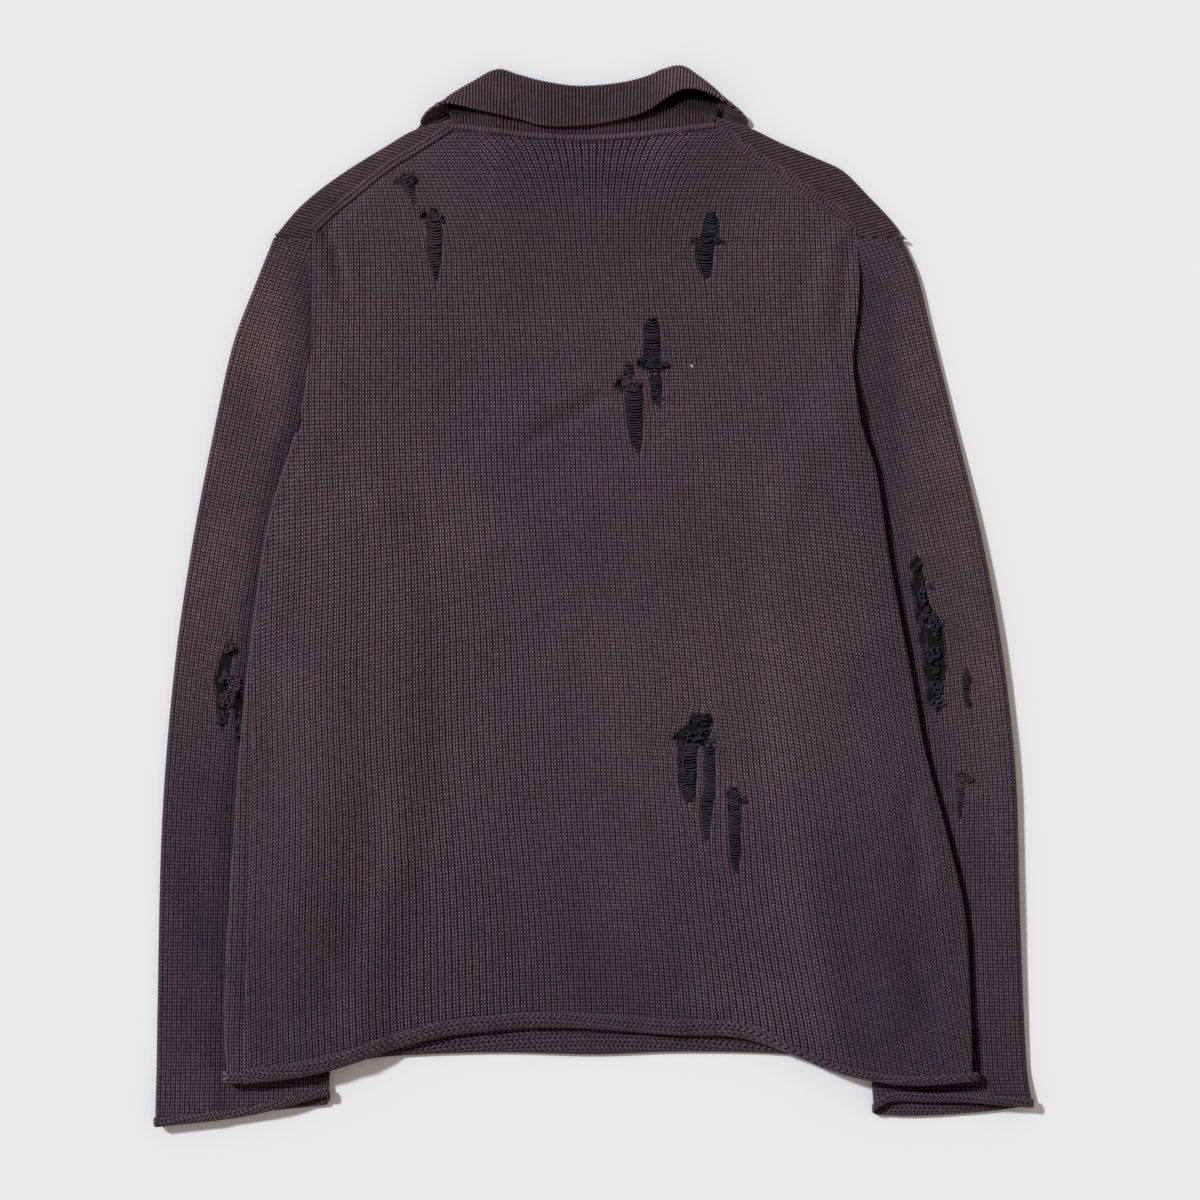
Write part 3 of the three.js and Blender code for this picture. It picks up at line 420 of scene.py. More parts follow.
def grid_mesh(name, points, uv, fields, materials, kept=None, ring=False, reverse=None):
    """A shell from a grid of points in millimetres, with a stitch map and soft masks."""
    rows, columns = points.shape[:2]
    wide = columns if ring else columns - 1
    r, c = np.meshgrid(np.arange(rows - 1), np.arange(wide), indexing="ij")
    keep = np.ones(r.shape, bool) if kept is None else kept[:rows - 1, :wide]
    r, c = r[keep], c[keep]
    c2 = (c + 1) % columns
    corners = np.stack([r * columns + c, r * columns + c2, (r + 1) * columns + c2, (r + 1) * columns + c], 1)
    used, index = np.unique(corners.ravel(), return_inverse=True)
    mesh = quad_mesh(name, points.reshape(-1, 3)[used], index.reshape(-1, 4))
    corner_uv = uv.reshape(-1, 2)[corners]
    if ring:
        last = c == columns - 1
        corner_uv[last, 1:3] = corner_uv[last][:, [0, 3]] + np.array([1.0, 0.0])
    mesh.uv_layers.new(name="Stitches").data.foreach_set("uv", corner_uv.astype(np.float32).ravel())
    for key, values in fields.items():
        attribute = mesh.attributes.new(key, "FLOAT", "POINT")
        attribute.data.foreach_set("value", np.asarray(values, np.float32).ravel()[used])
    for material in materials:
        mesh.materials.append(bpy.data.materials[material])
    if reverse is not None:
        mesh.polygons.foreach_set("material_index", reverse[r, c].astype(np.int32))
    mesh.update()
    mesh.validate()
    return linked(name, mesh)


def joined_mesh(name, parts, material):
    """One mesh from many closed little bodies: (points in mm, quads)."""
    starts = np.cumsum([0] + [len(points) for points, _ in parts])
    index = np.concatenate([quads + start for (_, quads), start in zip(parts, starts)])
    mesh = quad_mesh(name, np.concatenate([points for points, _ in parts]), index)
    mesh.materials.append(material)
    mesh.update()
    mesh.validate()
    return linked(name, mesh)


def yarn(path, radius, sides=6, flat=1.0):
    """A round-ended tube of yarn with an even number of sides; `flat` squashes it along Z."""
    path = np.asarray(path, float)
    along = np.gradient(path, axis=0)
    along /= np.linalg.norm(along, axis=1, keepdims=True)
    up = np.array([0.0, 0.0, 1.0])
    across = np.cross(along, up)
    size = np.linalg.norm(across, axis=1, keepdims=True)
    across = np.where(size > 1e-6, across / np.maximum(size, 1e-6), [1.0, 0.0, 0.0])
    over = np.cross(across, along)
    turn = np.linspace(0, 2 * np.pi, sides, endpoint=False)
    ring = across[:, None] * np.cos(turn)[None, :, None] + over[:, None] * np.sin(turn)[None, :, None] * flat
    count = len(path)
    taper = np.ones(count)
    taper[0] = taper[-1] = 0.35
    taper[1] = taper[-2] = 0.85 if count > 4 else 1.0
    radii = np.asarray(radius) * taper
    points = path[:, None] + ring * np.broadcast_to(radii, count)[:, None, None]
    index = np.arange(count * sides).reshape(count, sides)
    quads = np.stack([index[:-1], np.roll(index[:-1], -1, 1), np.roll(index[1:], -1, 1), index[1:]], -1)
    quads = quads.reshape(-1, 4)
    # each end closes on a middle point, with quads that each take two of the ring's sides
    first, last = count * sides, count * sides + 1
    caps = []
    for k in range(0, sides - 1, 2):
        k2, k3 = k + 1, (k + 2) % sides
        caps.append([first, index[0, k3], index[0, k2], index[0, k]])
        caps.append([last, index[-1, k], index[-1, k2], index[-1, k3]])
    return np.concatenate([points.reshape(-1, 3), path[[0, -1]]]), np.concatenate([quads, np.array(caps)])


# ---------------------------------------------------------------- shader node groups


class Maths:
    """Short ways to add nodes to a tree."""

    def __init__(self, tree):
        self.tree = tree

    def node(self, kind, **settings):
        made = self.tree.nodes.new(kind)
        for key, value in settings.items():
            setattr(made, key, value)
        return made

    def link(self, source, target):
        self.tree.links.new(source, target)

    def put(self, value, target):
        if isinstance(value, bpy.types.NodeSocket):
            self.link(value, target)
        else:
            target.default_value = value

    def math(self, operation, *values):
        made = self.node("ShaderNodeMath", operation=operation)
        for value, target in zip(values, made.inputs):
            self.put(value, target)
        return made.outputs[0]

    def add(self, a, b):
        return self.math("ADD", a, b)

    def sub(self, a, b):
        return self.math("SUBTRACT", a, b)

    def mul(self, a, b):
        return self.math("MULTIPLY", a, b)

    def off_middle(self, value):
        """0 at the middle of each whole step, 0.5 at its ends."""
        return self.math("ABSOLUTE", self.sub(self.math("FRACT", value), 0.5))

    def smooth(self, value, low, high, out_low=0.0, out_high=1.0):
        made = self.node("ShaderNodeMapRange", interpolation_type="SMOOTHSTEP")
        for item, target in zip((value, low, high, out_low, out_high), made.inputs):
            self.put(item, target)
        return made.outputs[0]

    def mix(self, factor, a, b, blend="MIX"):
        made = self.node("ShaderNodeMix", data_type="RGBA", blend_type=blend, clamp_factor=True)
        for value, slot in ((factor, 0), (a, 6), (b, 7)):
            self.put(value, made.inputs[slot])
        return made.outputs[2]

    def noise(self, vector, scale, detail=2.0, roughness=0.5):
        made = self.node("ShaderNodeTexNoise")
        for key, value in (("Vector", vector), ("Scale", scale), ("Detail", detail), ("Roughness", roughness)):
            self.put(value, made.inputs[key])
        return made.outputs["Fac"]


def new_group(name, inputs, outputs):
    """A node group with named sockets: (name, kind, default or None)."""
    group = bpy.data.node_groups.new(name, "ShaderNodeTree")
    for way, sockets in (("INPUT", inputs), ("OUTPUT", outputs)):
        for label, kind, default in sockets:
            item = group.interface.new_socket(name=label, in_out=way, socket_type="NodeSocket" + kind)
            if default is not None:
                item.default_value = default
    return Maths(group), group.nodes.new("NodeGroupInput").outputs, group.nodes.new("NodeGroupOutput").inputs


def stocking_stitch(m, place, u, v, lean):
    """Columns of V stitches, whose legs lean."""
    u = m.add(u, m.mul(m.sub(m.noise(place, 0.33, 1.0), 0.5), 0.16))
    reach = m.off_middle(u)
    leg = m.sub(v, m.mul(reach, lean))
    along = m.mul(m.off_middle(leg), 2.0)
    # across a column: two rounded legs, a shallow line where they meet and a deep one at the sides
    middle = m.smooth(reach, 0.0, 0.15, 0.22, 1.0)
    flank = m.smooth(reach, 0.30, 0.50, 1.0, 0.0)
    # along a leg: its ends dip, most at the column's sides, which leaves a dip there that the painted groove shade
    # turns into a dark dot
    dip = m.mul(m.math("POWER", along, 1.8), m.smooth(reach, 0.05, 0.4, 0.65, 1.0))
    return m.mul(m.mul(middle, flank), m.sub(1.0, dip)), (0.08, 1.0), m.mul(u, 2.0), leg


def rib_stitch(m, place, u, v, lean):
    """Fine ribs, one for each step of U, with small stitches along them."""
    reach = m.off_middle(u)
    along = m.mul(m.off_middle(m.add(v, m.mul(reach, lean))), 2.0)
    ridge = m.smooth(reach, 0.12, 0.5, 1.0, 0.0)
    return m.mul(ridge, m.sub(1.0, m.mul(m.math("POWER", along, 2.4), 0.3))), (0.0, 0.8), u, v


def reverse_stitch(m, place, u, v, lean):
    """The knit's other side: rows of beads, each row slanting the other way from the last."""
    rows = m.mul(v, 0.85)
    odd = m.math("MODULO", m.math("ABSOLUTE", m.math("FLOOR", rows)), 2.0)
    along = m.sub(m.math("FRACT", rows), 0.5)
    slant = m.mul(m.sub(m.mul(odd, 2.0), 1.0), along)
    reach = m.off_middle(m.add(m.mul(u, 1.15), m.mul(slant, lean)))
    ridge = m.smooth(m.math("ABSOLUTE", along), 0.22, 0.5, 1.0, 0.25)
    return m.mul(ridge, m.smooth(reach, 0.15, 0.5, 1.0, 0.05)), (0.05, 0.7), m.mul(u, 2.0), rows


def stitch_group(name, pattern, lean):
    """Relief, painted shade for its grooves and a value for each stitch, on a map with wales along U and courses along
    V.
    """
    m, given, out = new_group(name, [("Map", "Vector", None), ("Lean", "Float", lean)],
                              [(key, "Float", None) for key in ("Height", "Furrow shade", "Stitch")])
    split = m.node("ShaderNodeSeparateXYZ")
    m.link(given["Map"], split.inputs[0])
    height, furrow_shade_range, column, row = pattern(m, given["Map"], split.outputs[0], split.outputs[1], given["Lean"])
    m.link(height, out["Height"])
    m.link(m.sub(1.0, m.smooth(height, *furrow_shade_range)), out["Furrow shade"])
    cell = m.node("ShaderNodeCombineXYZ")
    m.link(m.math("FLOOR", column), cell.inputs[0])
    m.link(m.math("FLOOR", row), cell.inputs[1])
    white = m.node("ShaderNodeTexWhiteNoise", noise_dimensions="2D")
    m.link(cell.outputs[0], white.inputs["Vector"])
    m.link(white.outputs["Value"], out["Stitch"])


def wool_and_shade_group():
    """Over-dyed wool worn unevenly: mottled, rusty where it has faded, bluer where it hasn't, darker in patches, and
    darkened with painted shade in creases, hollows and stitch grooves.
    """
    m, given, out = new_group(
        "Faded wool",
        [(key, "Color", None) for key in ("Wool", "Rust Colour", "Navy Colour")]
        + [(key, "Float", 0.0) for key in ("Rust", "Navy", "Dark patch and shade", "Furrow shade")]
        + [("Stitch", "Float", 0.5), ("Contrast", "Float", 0.75)],
        [("Color", "Color", None), ("Fuzz", "Float", None)])
    place = m.node("ShaderNodeNewGeometry").outputs["Position"]
    broad = m.noise(place, 9.0, 3.0, 0.55)
    patch = m.noise(place, 38.0, 3.0, 0.6)
    fine = m.noise(place, 420.0, 2.0, 0.6)
    blush = m.add(m.smooth(broad, 0.5, 0.75, 0.0, 0.22),
                  m.mul(given["Rust"], m.smooth(patch, 0.25, 0.7, 0.55, 1.25)))
    colour = m.mix(blush, given["Wool"], given["Rust Colour"])
    cool = m.add(m.smooth(patch, 0.52, 0.75, 0.0, 0.3),
                 m.mul(given["Navy"], m.smooth(patch, 0.3, 0.7, 0.7, 1.2)))
    colour = m.mix(cool, colour, given["Navy Colour"])
    mottle = m.mul(m.smooth(broad, 0.3, 0.7, 0.93, 1.07), m.smooth(patch, 0.25, 0.75, 0.95, 1.05))
    yarns = m.mul(m.smooth(given["Stitch"], 0.0, 1.0, 0.86, 1.14), m.smooth(fine, 0.25, 0.75, 0.85, 1.15))
    # painted shade: the dark patch mask darkens creases, the collar's hollow under its fall and the sleeves beside the
    # body's edge, as well as darker patches of wool
    shade = m.mul(m.mul(mottle, yarns), m.sub(1.0, m.mul(given["Dark patch and shade"], 0.5)))
    # painted shade: the grooves between stitches are darkened
    shade = m.mul(shade, m.sub(1.0, m.mul(given["Furrow shade"], given["Contrast"])))
    grey = m.node("ShaderNodeCombineColor")
    for target in grey.inputs:
        m.link(shade, target)
    m.link(m.mix(1.0, colour, grey.outputs[0], "MULTIPLY"), out["Color"])
    m.link(fine, out["Fuzz"])


def new_shader(name, roughness, sheen, specular):
    """A material with one shader: the way to add nodes to it, and the shader's inputs."""
    material = bpy.data.materials.new(name)
    material.use_nodes = True
    material.node_tree.nodes.clear()
    m = Maths(material.node_tree)
    shader = m.node("ShaderNodeBsdfPrincipled")
    m.link(shader.outputs[0], m.node("ShaderNodeOutputMaterial").inputs[0])
    for key, value in (("Roughness", roughness), ("Sheen Weight", sheen), ("Specular IOR Level", specular)):
        shader.inputs[key].default_value = value
    return m, shader.inputs


def worn_wool(m, wool, settings):
    """The wool and painted shade group with its three colours set."""
    worn = m.node("ShaderNodeGroup", node_tree=bpy.data.node_groups["Faded wool"])
    for key, colour in (("Wool", wool), ("Rust Colour", settings.rust_colour),
                        ("Navy Colour", settings.navy_colour)):
        worn.inputs[key].default_value = (*colour, 1.0)
    return worn


def add_bump(m, shader, height, distance_mm, strength):
    bump = m.node("ShaderNodeBump")
    bump.inputs["Strength"].default_value = strength
    bump.inputs["Distance"].default_value = distance_mm * MM
    m.link(height, bump.inputs["Height"])
    m.link(bump.outputs[0], shader["Normal"])


def wool_material(name, stitch, settings, wool, relief_mm, furrow_shade=0.99, open_knit_shade=False):
    """A knit material: the stitch group's relief and the faded wool colour, with painted shade in its grooves, on one
    shader.
    """
    m, shader = new_shader(name, 0.92, 0.12, 0.18)
    shader["Sheen Roughness"].default_value = 0.6
    worn = worn_wool(m, wool, settings)
    worn.inputs["Contrast"].default_value = furrow_shade
    for key in ("Rust", "Navy", "Dark patch and shade"):
        m.link(m.node("ShaderNodeAttribute", attribute_name=key).outputs["Fac"], worn.inputs[key])
    knit = m.node("ShaderNodeGroup", node_tree=bpy.data.node_groups[stitch])
    m.link(m.node("ShaderNodeUVMap", uv_map="Stitches").outputs[0], knit.inputs["Map"])
    for key in ("Furrow shade", "Stitch"):
        m.link(knit.outputs[key], worn.inputs[key])
    colour = worn.outputs["Color"]
    height = m.add(knit.outputs["Height"], m.mul(worn.outputs["Fuzz"], 0.35))
    if open_knit_shade:
        hole = m.node("ShaderNodeAttribute", attribute_name="Open knit and shade").outputs["Fac"]
        # painted shade: the open ladders and holes are coloured near-black, a much darker darning-yarn colour, and lose
        # their stitch relief
        colour = m.mix(hole, colour, (*[0.15 * c for c in settings.darn_colour], 1.0))
        height = m.mul(height, m.sub(1.0, hole))
    m.link(colour, shader["Base Color"])
    add_bump(m, shader, height, relief_mm, 1.0)


def yarn_material(name, colour, twist, settings):
    """Yarn that stands as real tubes: colour variation and a fine twist."""
    m, shader = new_shader(name, 0.9, 0.06, 0.2)
    place = m.node("ShaderNodeNewGeometry").outputs["Position"]
    worn = worn_wool(m, colour, settings)
    m.link(m.noise(place, 260.0, 1.0), worn.inputs["Stitch"])
    m.link(worn.outputs["Color"], shader["Base Color"])
    wave = m.node("ShaderNodeTexWave", wave_type="BANDS", bands_direction="DIAGONAL")
    m.link(place, wave.inputs["Vector"])
    wave.inputs["Scale"].default_value = twist
    wave.inputs["Distortion"].default_value = 2.0
    add_bump(m, shader, m.add(wave.outputs["Fac"], m.mul(worn.outputs["Fuzz"], 0.8)), 0.25, 0.7)


# ---------------------------------------------------------------- settings


def colour_property(name, description, default):
    return bpy.props.FloatVectorProperty(name=name, description=description, default=default,
                                         subtype="COLOR", size=3, min=0.0, max=1.0)


class SweaterKnitSettings(bpy.types.PropertyGroup):
    """Sizes of the knitting."""
    wale: bpy.props.FloatProperty(name="Wale", description="Width of one column of stitches",
                                  default=3.8 * MM, min=0.002, max=0.008, unit="LENGTH")
    course: bpy.props.FloatProperty(name="Course", description="Height of one row of stitches",
                                    default=2.55 * MM, min=0.0015, max=0.006, unit="LENGTH")
    rib: bpy.props.FloatProperty(name="Rib", description="Width of one collar rib",
                                 default=2.5 * MM, min=0.0015, max=0.006, unit="LENGTH")
    relief: bpy.props.FloatProperty(name="Stitch relief", description="How proud the stitches stand",
                                    default=0.9 * MM, min=0.0, max=0.002, unit="LENGTH")


class SweaterColourSettings(bpy.types.PropertyGroup):
    """Colours of the wool and the darning yarn."""
    body_colour: colour_property("Body wool", "Faded aubergine wool of the body", (0.160, 0.097, 0.131))
    rib_colour: colour_property("Rib wool", "Wool of the collar and shoulder bands", (0.074, 0.040, 0.053))
    seam_colour: colour_property("Linking yarn", "Yarn of the raised seams", (0.092, 0.057, 0.076))
    rust_colour: colour_property("Rust", "Where the dye has faded brown", (0.262, 0.146, 0.158))
    navy_colour: colour_property("Navy", "Where the blue over-dye is strongest", (0.080, 0.058, 0.104))
    darn_colour: colour_property("Darning yarn", "Dark navy darning yarn", (0.026, 0.022, 0.034))


class SweaterStageSettings(bpy.types.PropertyGroup):
    """Floor and light."""
    floor_colour: colour_property("Floor", "Pale floor", (0.82, 0.82, 0.83))
    key_strength: bpy.props.FloatProperty(name="Key light", description="Strength of the light from the upper left",
                                          default=2.94, min=0.0)
    key_spread: bpy.props.FloatProperty(name="Key spread",
                                        description="How wide the key light looks, for softer shadows",
                                        default=math.radians(6.0), min=0.0, max=math.pi, subtype="ANGLE")
    key_colour: colour_property("Key colour", "Cool daylight of the key light", (0.886, 0.943, 1.0))
    fill_colour: colour_property("Fill colour", "Warm light from all round, which tints the shadows", (1.0, 0.90, 0.82))
    black_level: colour_property("Black level", "Light that still prints as black", (0.0048, 0.0046, 0.0046))
    fill: bpy.props.FloatProperty(name="Fill", description="Strength of the light from all round",
                                  default=0.42, min=0.0)


def settings_of(context):
    return context.scene.sweater_knit, context.scene.sweater_colours, context.scene.sweater_stage


# ---------------------------------------------------------------- stitch maps and masks

TILT_TOP = 300.0
NECK_MIDDLE = (NECK_LEFT + NECK_RIGHT) / 2


def body_map(x, y, knit, columns=None):
    """Wale and course counts over the body: wales lean a little, courses arch with the hem."""
    lean = 0.066 * ease((x + 240) / 240)
    arch = -0.00062 * x * x * ease((170 - y) / 260)
    if columns:
        push, _, _ = ladder_fields(columns, x, y)
    else:
        push = 0.0
    # the columns spread and lean outwards under the neck seam
    fan = np.clip(x - NECK_MIDDLE, -75, 75) * 0.375 * np.clip((y - 240) / 90, 0, 1.1) ** 2
    fan = fan * ease(1 - (np.abs(x - NECK_MIDDLE) - 100) / 75)
    # and lie along the right edge below the elbow
    skew = 0.085 * ease((x - 40) / 170) * np.maximum(60 - y, 0)
    across = x - push - fan - skew - lean * (TILT_TOP - y) + 0.9 * np.sin(y / 33 + x / 71)
    return np.stack([across * MM / knit.wale, (y - arch) * MM / knit.course], -1)


def band_map(x, y, knit):
    """Ribs of the shoulder bands, almost level and a little higher towards each sleeve."""
    rise = 0.25 * np.abs(x - NECK_MIDDLE)
    return np.stack([(y - rise) * MM / knit.rib, x * MM / knit.course], -1)


def blotch(x, y, spots):
    """Soft spots: (x, y, half-width, half-height, strength)."""
    total = np.zeros(np.shape(x))
    for sx, sy, wide, high, strength in spots:
        total = np.maximum(total, strength * np.exp(-((x - sx) / wide) ** 2 - ((y - sy) / high) ** 2))
    return total


BODY_RUST = [(-170, 190, 30, 60, 0.35), (-150, 60, 80, 120, 0.22), (110, 230, 90, 80, 0.16),
             (0, 200, 160, 100, 0.12), (120, -40, 90, 130, 0.15), (-150, -80, 70, 120, 0.12)]
BODY_NAVY = [(220, -300, 70, 70, 0.65), (-240, -310, 60, 60, 0.40), (0, -270, 190, 70, 0.40),
             (190, -180, 70, 90, 0.35), (-60, 100, 80, 60, 0.20), (215, -60, 34, 120, 0.30),
             (-10, 315, 90, 40, 0.25)]
SLEEVE_RUST = [(-248, 190, 26, 80, 1.0), (-268, 90, 28, 100, 0.75), (-290, -10, 24, 80, 0.45),
               (240, 195, 26, 80, 0.55), (260, 90, 34, 110, 0.60), (286, -40, 24, 90, 0.40)]
SLEEVE_NAVY = [(-280, -260, 60, 130, 0.55), (280, -260, 60, 130, 0.5), (-250, -60, 14, 90, 0.5),
               (290, -350, 60, 24, 0.5), (-270, -365, 60, 20, 0.4), (215, 160, 12, 90, 0.4)]


# Darker patches on the body and sleeves; the body's last three spots are painted shade along the crease at the left
# shoulder
BODY_DARK_AND_SHADE = [(0, 290, 110, 60, 0.50), (-150, 260, 70, 60, 0.25), (215, -270, 90, 110, 0.55),
             (-200, -270, 90, 100, 0.40), (190, 20, 40, 160, 0.25), (30, -280, 110, 70, 0.22),
             (-20, 240, 90, 60, 0.25), (-160, 190, 70, 60, 0.15), (150, 20, 70, 100, 0.20),
             (-210, -180, 60, 80, 0.16), (-36, -216, 90, 70, 0.14), (190, -250, 60, 70, 0.24),
             (-196, 263, 4, 9, 0.70), (-189, 248, 4, 12, 0.90), (-183, 230, 4, 14, 0.60)]
SLEEVE_DEEP = [(-290, -250, 60, 130, 0.40), (290, -320, 70, 90, 0.25), (205, 180, 16, 80, 0.30),
               (-260, 190, 40, 120, 0.10), (290, -230, 50, 100, 0.20)]


BODY_MARKS_AND_SHADE = {"Rust": BODY_RUST, "Navy": BODY_NAVY, "Dark patch and shade": BODY_DARK_AND_SHADE}
SLEEVE_MARKS_AND_SHADE = {"Rust": SLEEVE_RUST, "Navy": SLEEVE_NAVY, "Dark patch and shade": SLEEVE_DEEP}


def marks_and_shade_fields(points, marks_and_shade, open_knit_shade=None):
    """Soft masks of a shell: worn wool, darker patches with painted shade, and open knit that is painted dark."""
    fields = {key: blotch(points[..., 0], points[..., 1], spots) for key, spots in marks_and_shade.items()}
    fields["Open knit and shade"] = np.zeros(points.shape[:2]) if open_knit_shade is None else open_knit_shade
    return fields


def roll_angles(count, last=250.0):
    return np.radians(np.linspace(0, last, count + 1)[1:])[::-1]


def curled(base, along, high, outward, thickness, angles):
    """Rows of a rolled edge from its free edge back to the flat. The visible skin changes from the
    cloth's face to its back just inside the crease, where the roll hides it."""
    rows = []
    for turn in angles:
        middle = base.copy()
        middle[:, 1] -= along * math.sin(turn)
        swing = high * (1 - math.cos(turn))
        normal_y = -np.sin(turn)
        normal_out = -math.cos(turn)
        skin = thickness * (0.0 if turn < 0.2 else 1.0) * ease(turn / 1.0)
        middle[:, 0] += outward[:, 0] * swing
        middle[:, 2] += outward[:, 1] * swing
        middle[:, 1] += normal_y * skin
        middle[:, 0] += outward[:, 0] * normal_out * skin
        middle[:, 2] += outward[:, 1] * normal_out * skin
        rows.append(middle)
    return np.stack(rows)


def rolled(base, along, high, outward, skin, count, reach, uv, knit):
    """A rolled edge's rows and their stitch map, which carries on from the shell's first row."""
    angles = roll_angles(count)
    arc = angles[:, None] * reach * MM / knit.course + 0 * base[None, :, 0]
    uv_roll = np.stack([np.broadcast_to(uv[0, :, 0], arc.shape), uv[0, :, 1] - arc], -1)
    return curled(base, along, high, outward, skin, angles), uv_roll


def hem_width(x):
    """The back's hem roll is wide at the left and slim at the right."""
    return lerp(BACK_ROLL["wide"], BACK_ROLL["slim"],
                ease((x - BACK_ROLL["from"]) / (BACK_ROLL["to"] - BACK_ROLL["from"])))


def outward_of(outline, x):
    """Unit normals, pointing off the sweater, along an outline of Y at X."""
    slope = (outline(x + 1) - outline(x - 1)) / 2
    out = np.stack([-slope, np.ones_like(slope)], -1)
    return out / np.linalg.norm(out, axis=1, keepdims=True)


def spaced(stops):
    """Positions from (start, end, spacing) stretches laid end to end."""
    places = [np.array([stops[0][0]])]
    for start, end, spacing in stops:
        count = max(1, int(round((end - start) / spacing)))
        places.append(np.linspace(start, end, count + 1)[1:])
    return np.concatenate(places)


def finish_piece(piece, nodes):
    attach(piece, "root")
    if nodes:
        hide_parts(*nodes)
    return piece


# ---------------------------------------------------------------- pieces


def build_back(knit):
    """The back, with its ladders, its rolled hem and the strip that folds under at the right."""
    share = spaced([(0, 0.03, 0.004), (0.03, 0.15, 0.0075), (0.15, 0.25, 0.0033), (0.25, 0.55, 0.008),
                    (0.55, 0.76, 0.0028), (0.76, 0.96, 0.0075), (0.96, 1.0, 0.004)])
    rise = spaced([(0, 0.22, 0.0055), (0.22, 0.43, 0.0028), (0.43, 0.73, 0.006), (0.73, 1.0, 0.003)])
    v, u = np.meshgrid(rise, share, indexing="ij")
    x = lerp(-205.0, 191.0, u)
    y = lerp(-340.0, 262.0, v)
    for _ in range(SETTLING):
        along = hem_width(x)
        y = lerp(back_hem(x) + HALF + along, back_top(x) - GAP / 2, v)
        side_top = ease((UNDERARM + 12 - y) / 14)
        left = body_left(y) + (HALF + FOLD - GAP / 2 + left_strip(y)) * side_top
        right = body_right(y) - (HALF + RIGHT_FOLD) * side_top
        x = lerp(left, right, u)
    middle = back_height(x, y) + right_edge_lift(x, y)
    _, inside, lip = ladder_fields(BACK_COLUMNS, x, y)
    hole = hole_mask(BACK_HOLES, x, y)
    inside = np.maximum(inside, hole)
    z = middle + HALF - 1.5 * inside - 1.2 * hole + 0.45 * lip * (1 - hole)
    # the cloth dips beside the linking seams
    z = z - 1.1 * np.exp(-((back_top(x) - y - 4.0) / 1.4) ** 2)
    flat = np.stack([x, y, z], -1)
    uv = body_map(x, y, knit, BACK_COLUMNS)

    # the right edge folds under below the underarm, and only turns down above it
    turns = np.radians(np.linspace(90, -90, 13))[1:]
    edge = flat[:, -1]
    depth = side_top[:, -1]
    wrap_rows = []
    for turn in turns:
        radius = lerp(2.2, RIGHT_FOLD + HALF, depth)
        bent = np.maximum(turn, lerp(np.radians(-15), turn, depth))
        wrap_rows.append(np.stack([edge[:, 0] + (np.cos(bent)) * radius * lerp(0.35, 1.0, depth), edge[:, 1],
                                   edge[:, 2] - radius + radius * np.sin(bent)], -1))
    wrap = np.stack(wrap_rows, 1)
    under = wrap[:, -1:] - np.stack([RIGHT_STRIP * depth, 0 * depth, 0 * depth], -1)[:, None]
    turned_left = np.stack([flat[:, 0] - np.stack([out * (1 - depth), 0 * depth, lerp(deep, low, depth)], -1)
                            for out, deep, low in ((1.2, 2.4, 1.2), (0.8, 0.9, 0.4))], 1)
    points = np.concatenate([turned_left, flat, wrap, under], 1)
    step = 1.4 * MM / knit.wale
    uv_left = np.stack([uv[:, 0] - [2 * step, 0], uv[:, 0] - [step, 0]], 1)
    grow = np.arange(1, wrap.shape[1] + 1)[None, :, None] * np.array([0.9 * MM / knit.wale, 0.0])
    uv_right = uv[:, -1:] + grow
    uv_under = uv_right[:, -1:] + np.array([RIGHT_STRIP * MM / knit.wale, 0.0])
    uv_all = np.concatenate([uv_left, uv, uv_right, uv_under], 1)

    # rolled hem
    base = points[0].copy()
    base[:, 2] -= HALF
    along = hem_width(base[:, 0])
    outward = np.zeros((len(base), 2))
    outward[:, 1] = 1.0
    first_wrap = 2 + len(share)
    wrapped = np.concatenate([turns, [turns[-1]]])
    outward[first_wrap:, 0] = np.cos(wrapped)
    outward[first_wrap:, 1] = np.sin(wrapped)
    high = np.where(outward[:, 1] > 0.9, BACK_ROLL["high"], FRONT_ROLL["high"])
    roll, uv_roll = rolled(base, along, high, outward, HALF, HEM_ROWS, along + HALF, uv_all, knit)
    lumps = 1 + 0.10 * np.sin(base[:, 0] / 7.0) + 0.08 * np.sin(base[:, 0] / 3.1 + 1)
    roll[:, :, 2] = base[None, :, 2] + (roll[:, :, 2] - base[None, :, 2]) * lumps[None]
    points = np.concatenate([roll, points])
    uv_all = np.concatenate([uv_roll, uv_all])
    reverse = np.zeros(points.shape[:2], bool)
    reverse[:HEM_ROWS] = True
    kept = np.ones(points.shape[:2], bool)
    kept[:, -2:] = points[:, -2:, 1] < WRAP_TOP
    open_knit_shade = np.zeros(points.shape[:2])
    open_knit_shade[HEM_ROWS:, 2:2 + len(share)] = inside
    return grid_mesh("back", points, uv_all, marks_and_shade_fields(points, BODY_MARKS_AND_SHADE, open_knit_shade),
                     ("Body knit", "Body reverse"), kept, reverse=reverse)


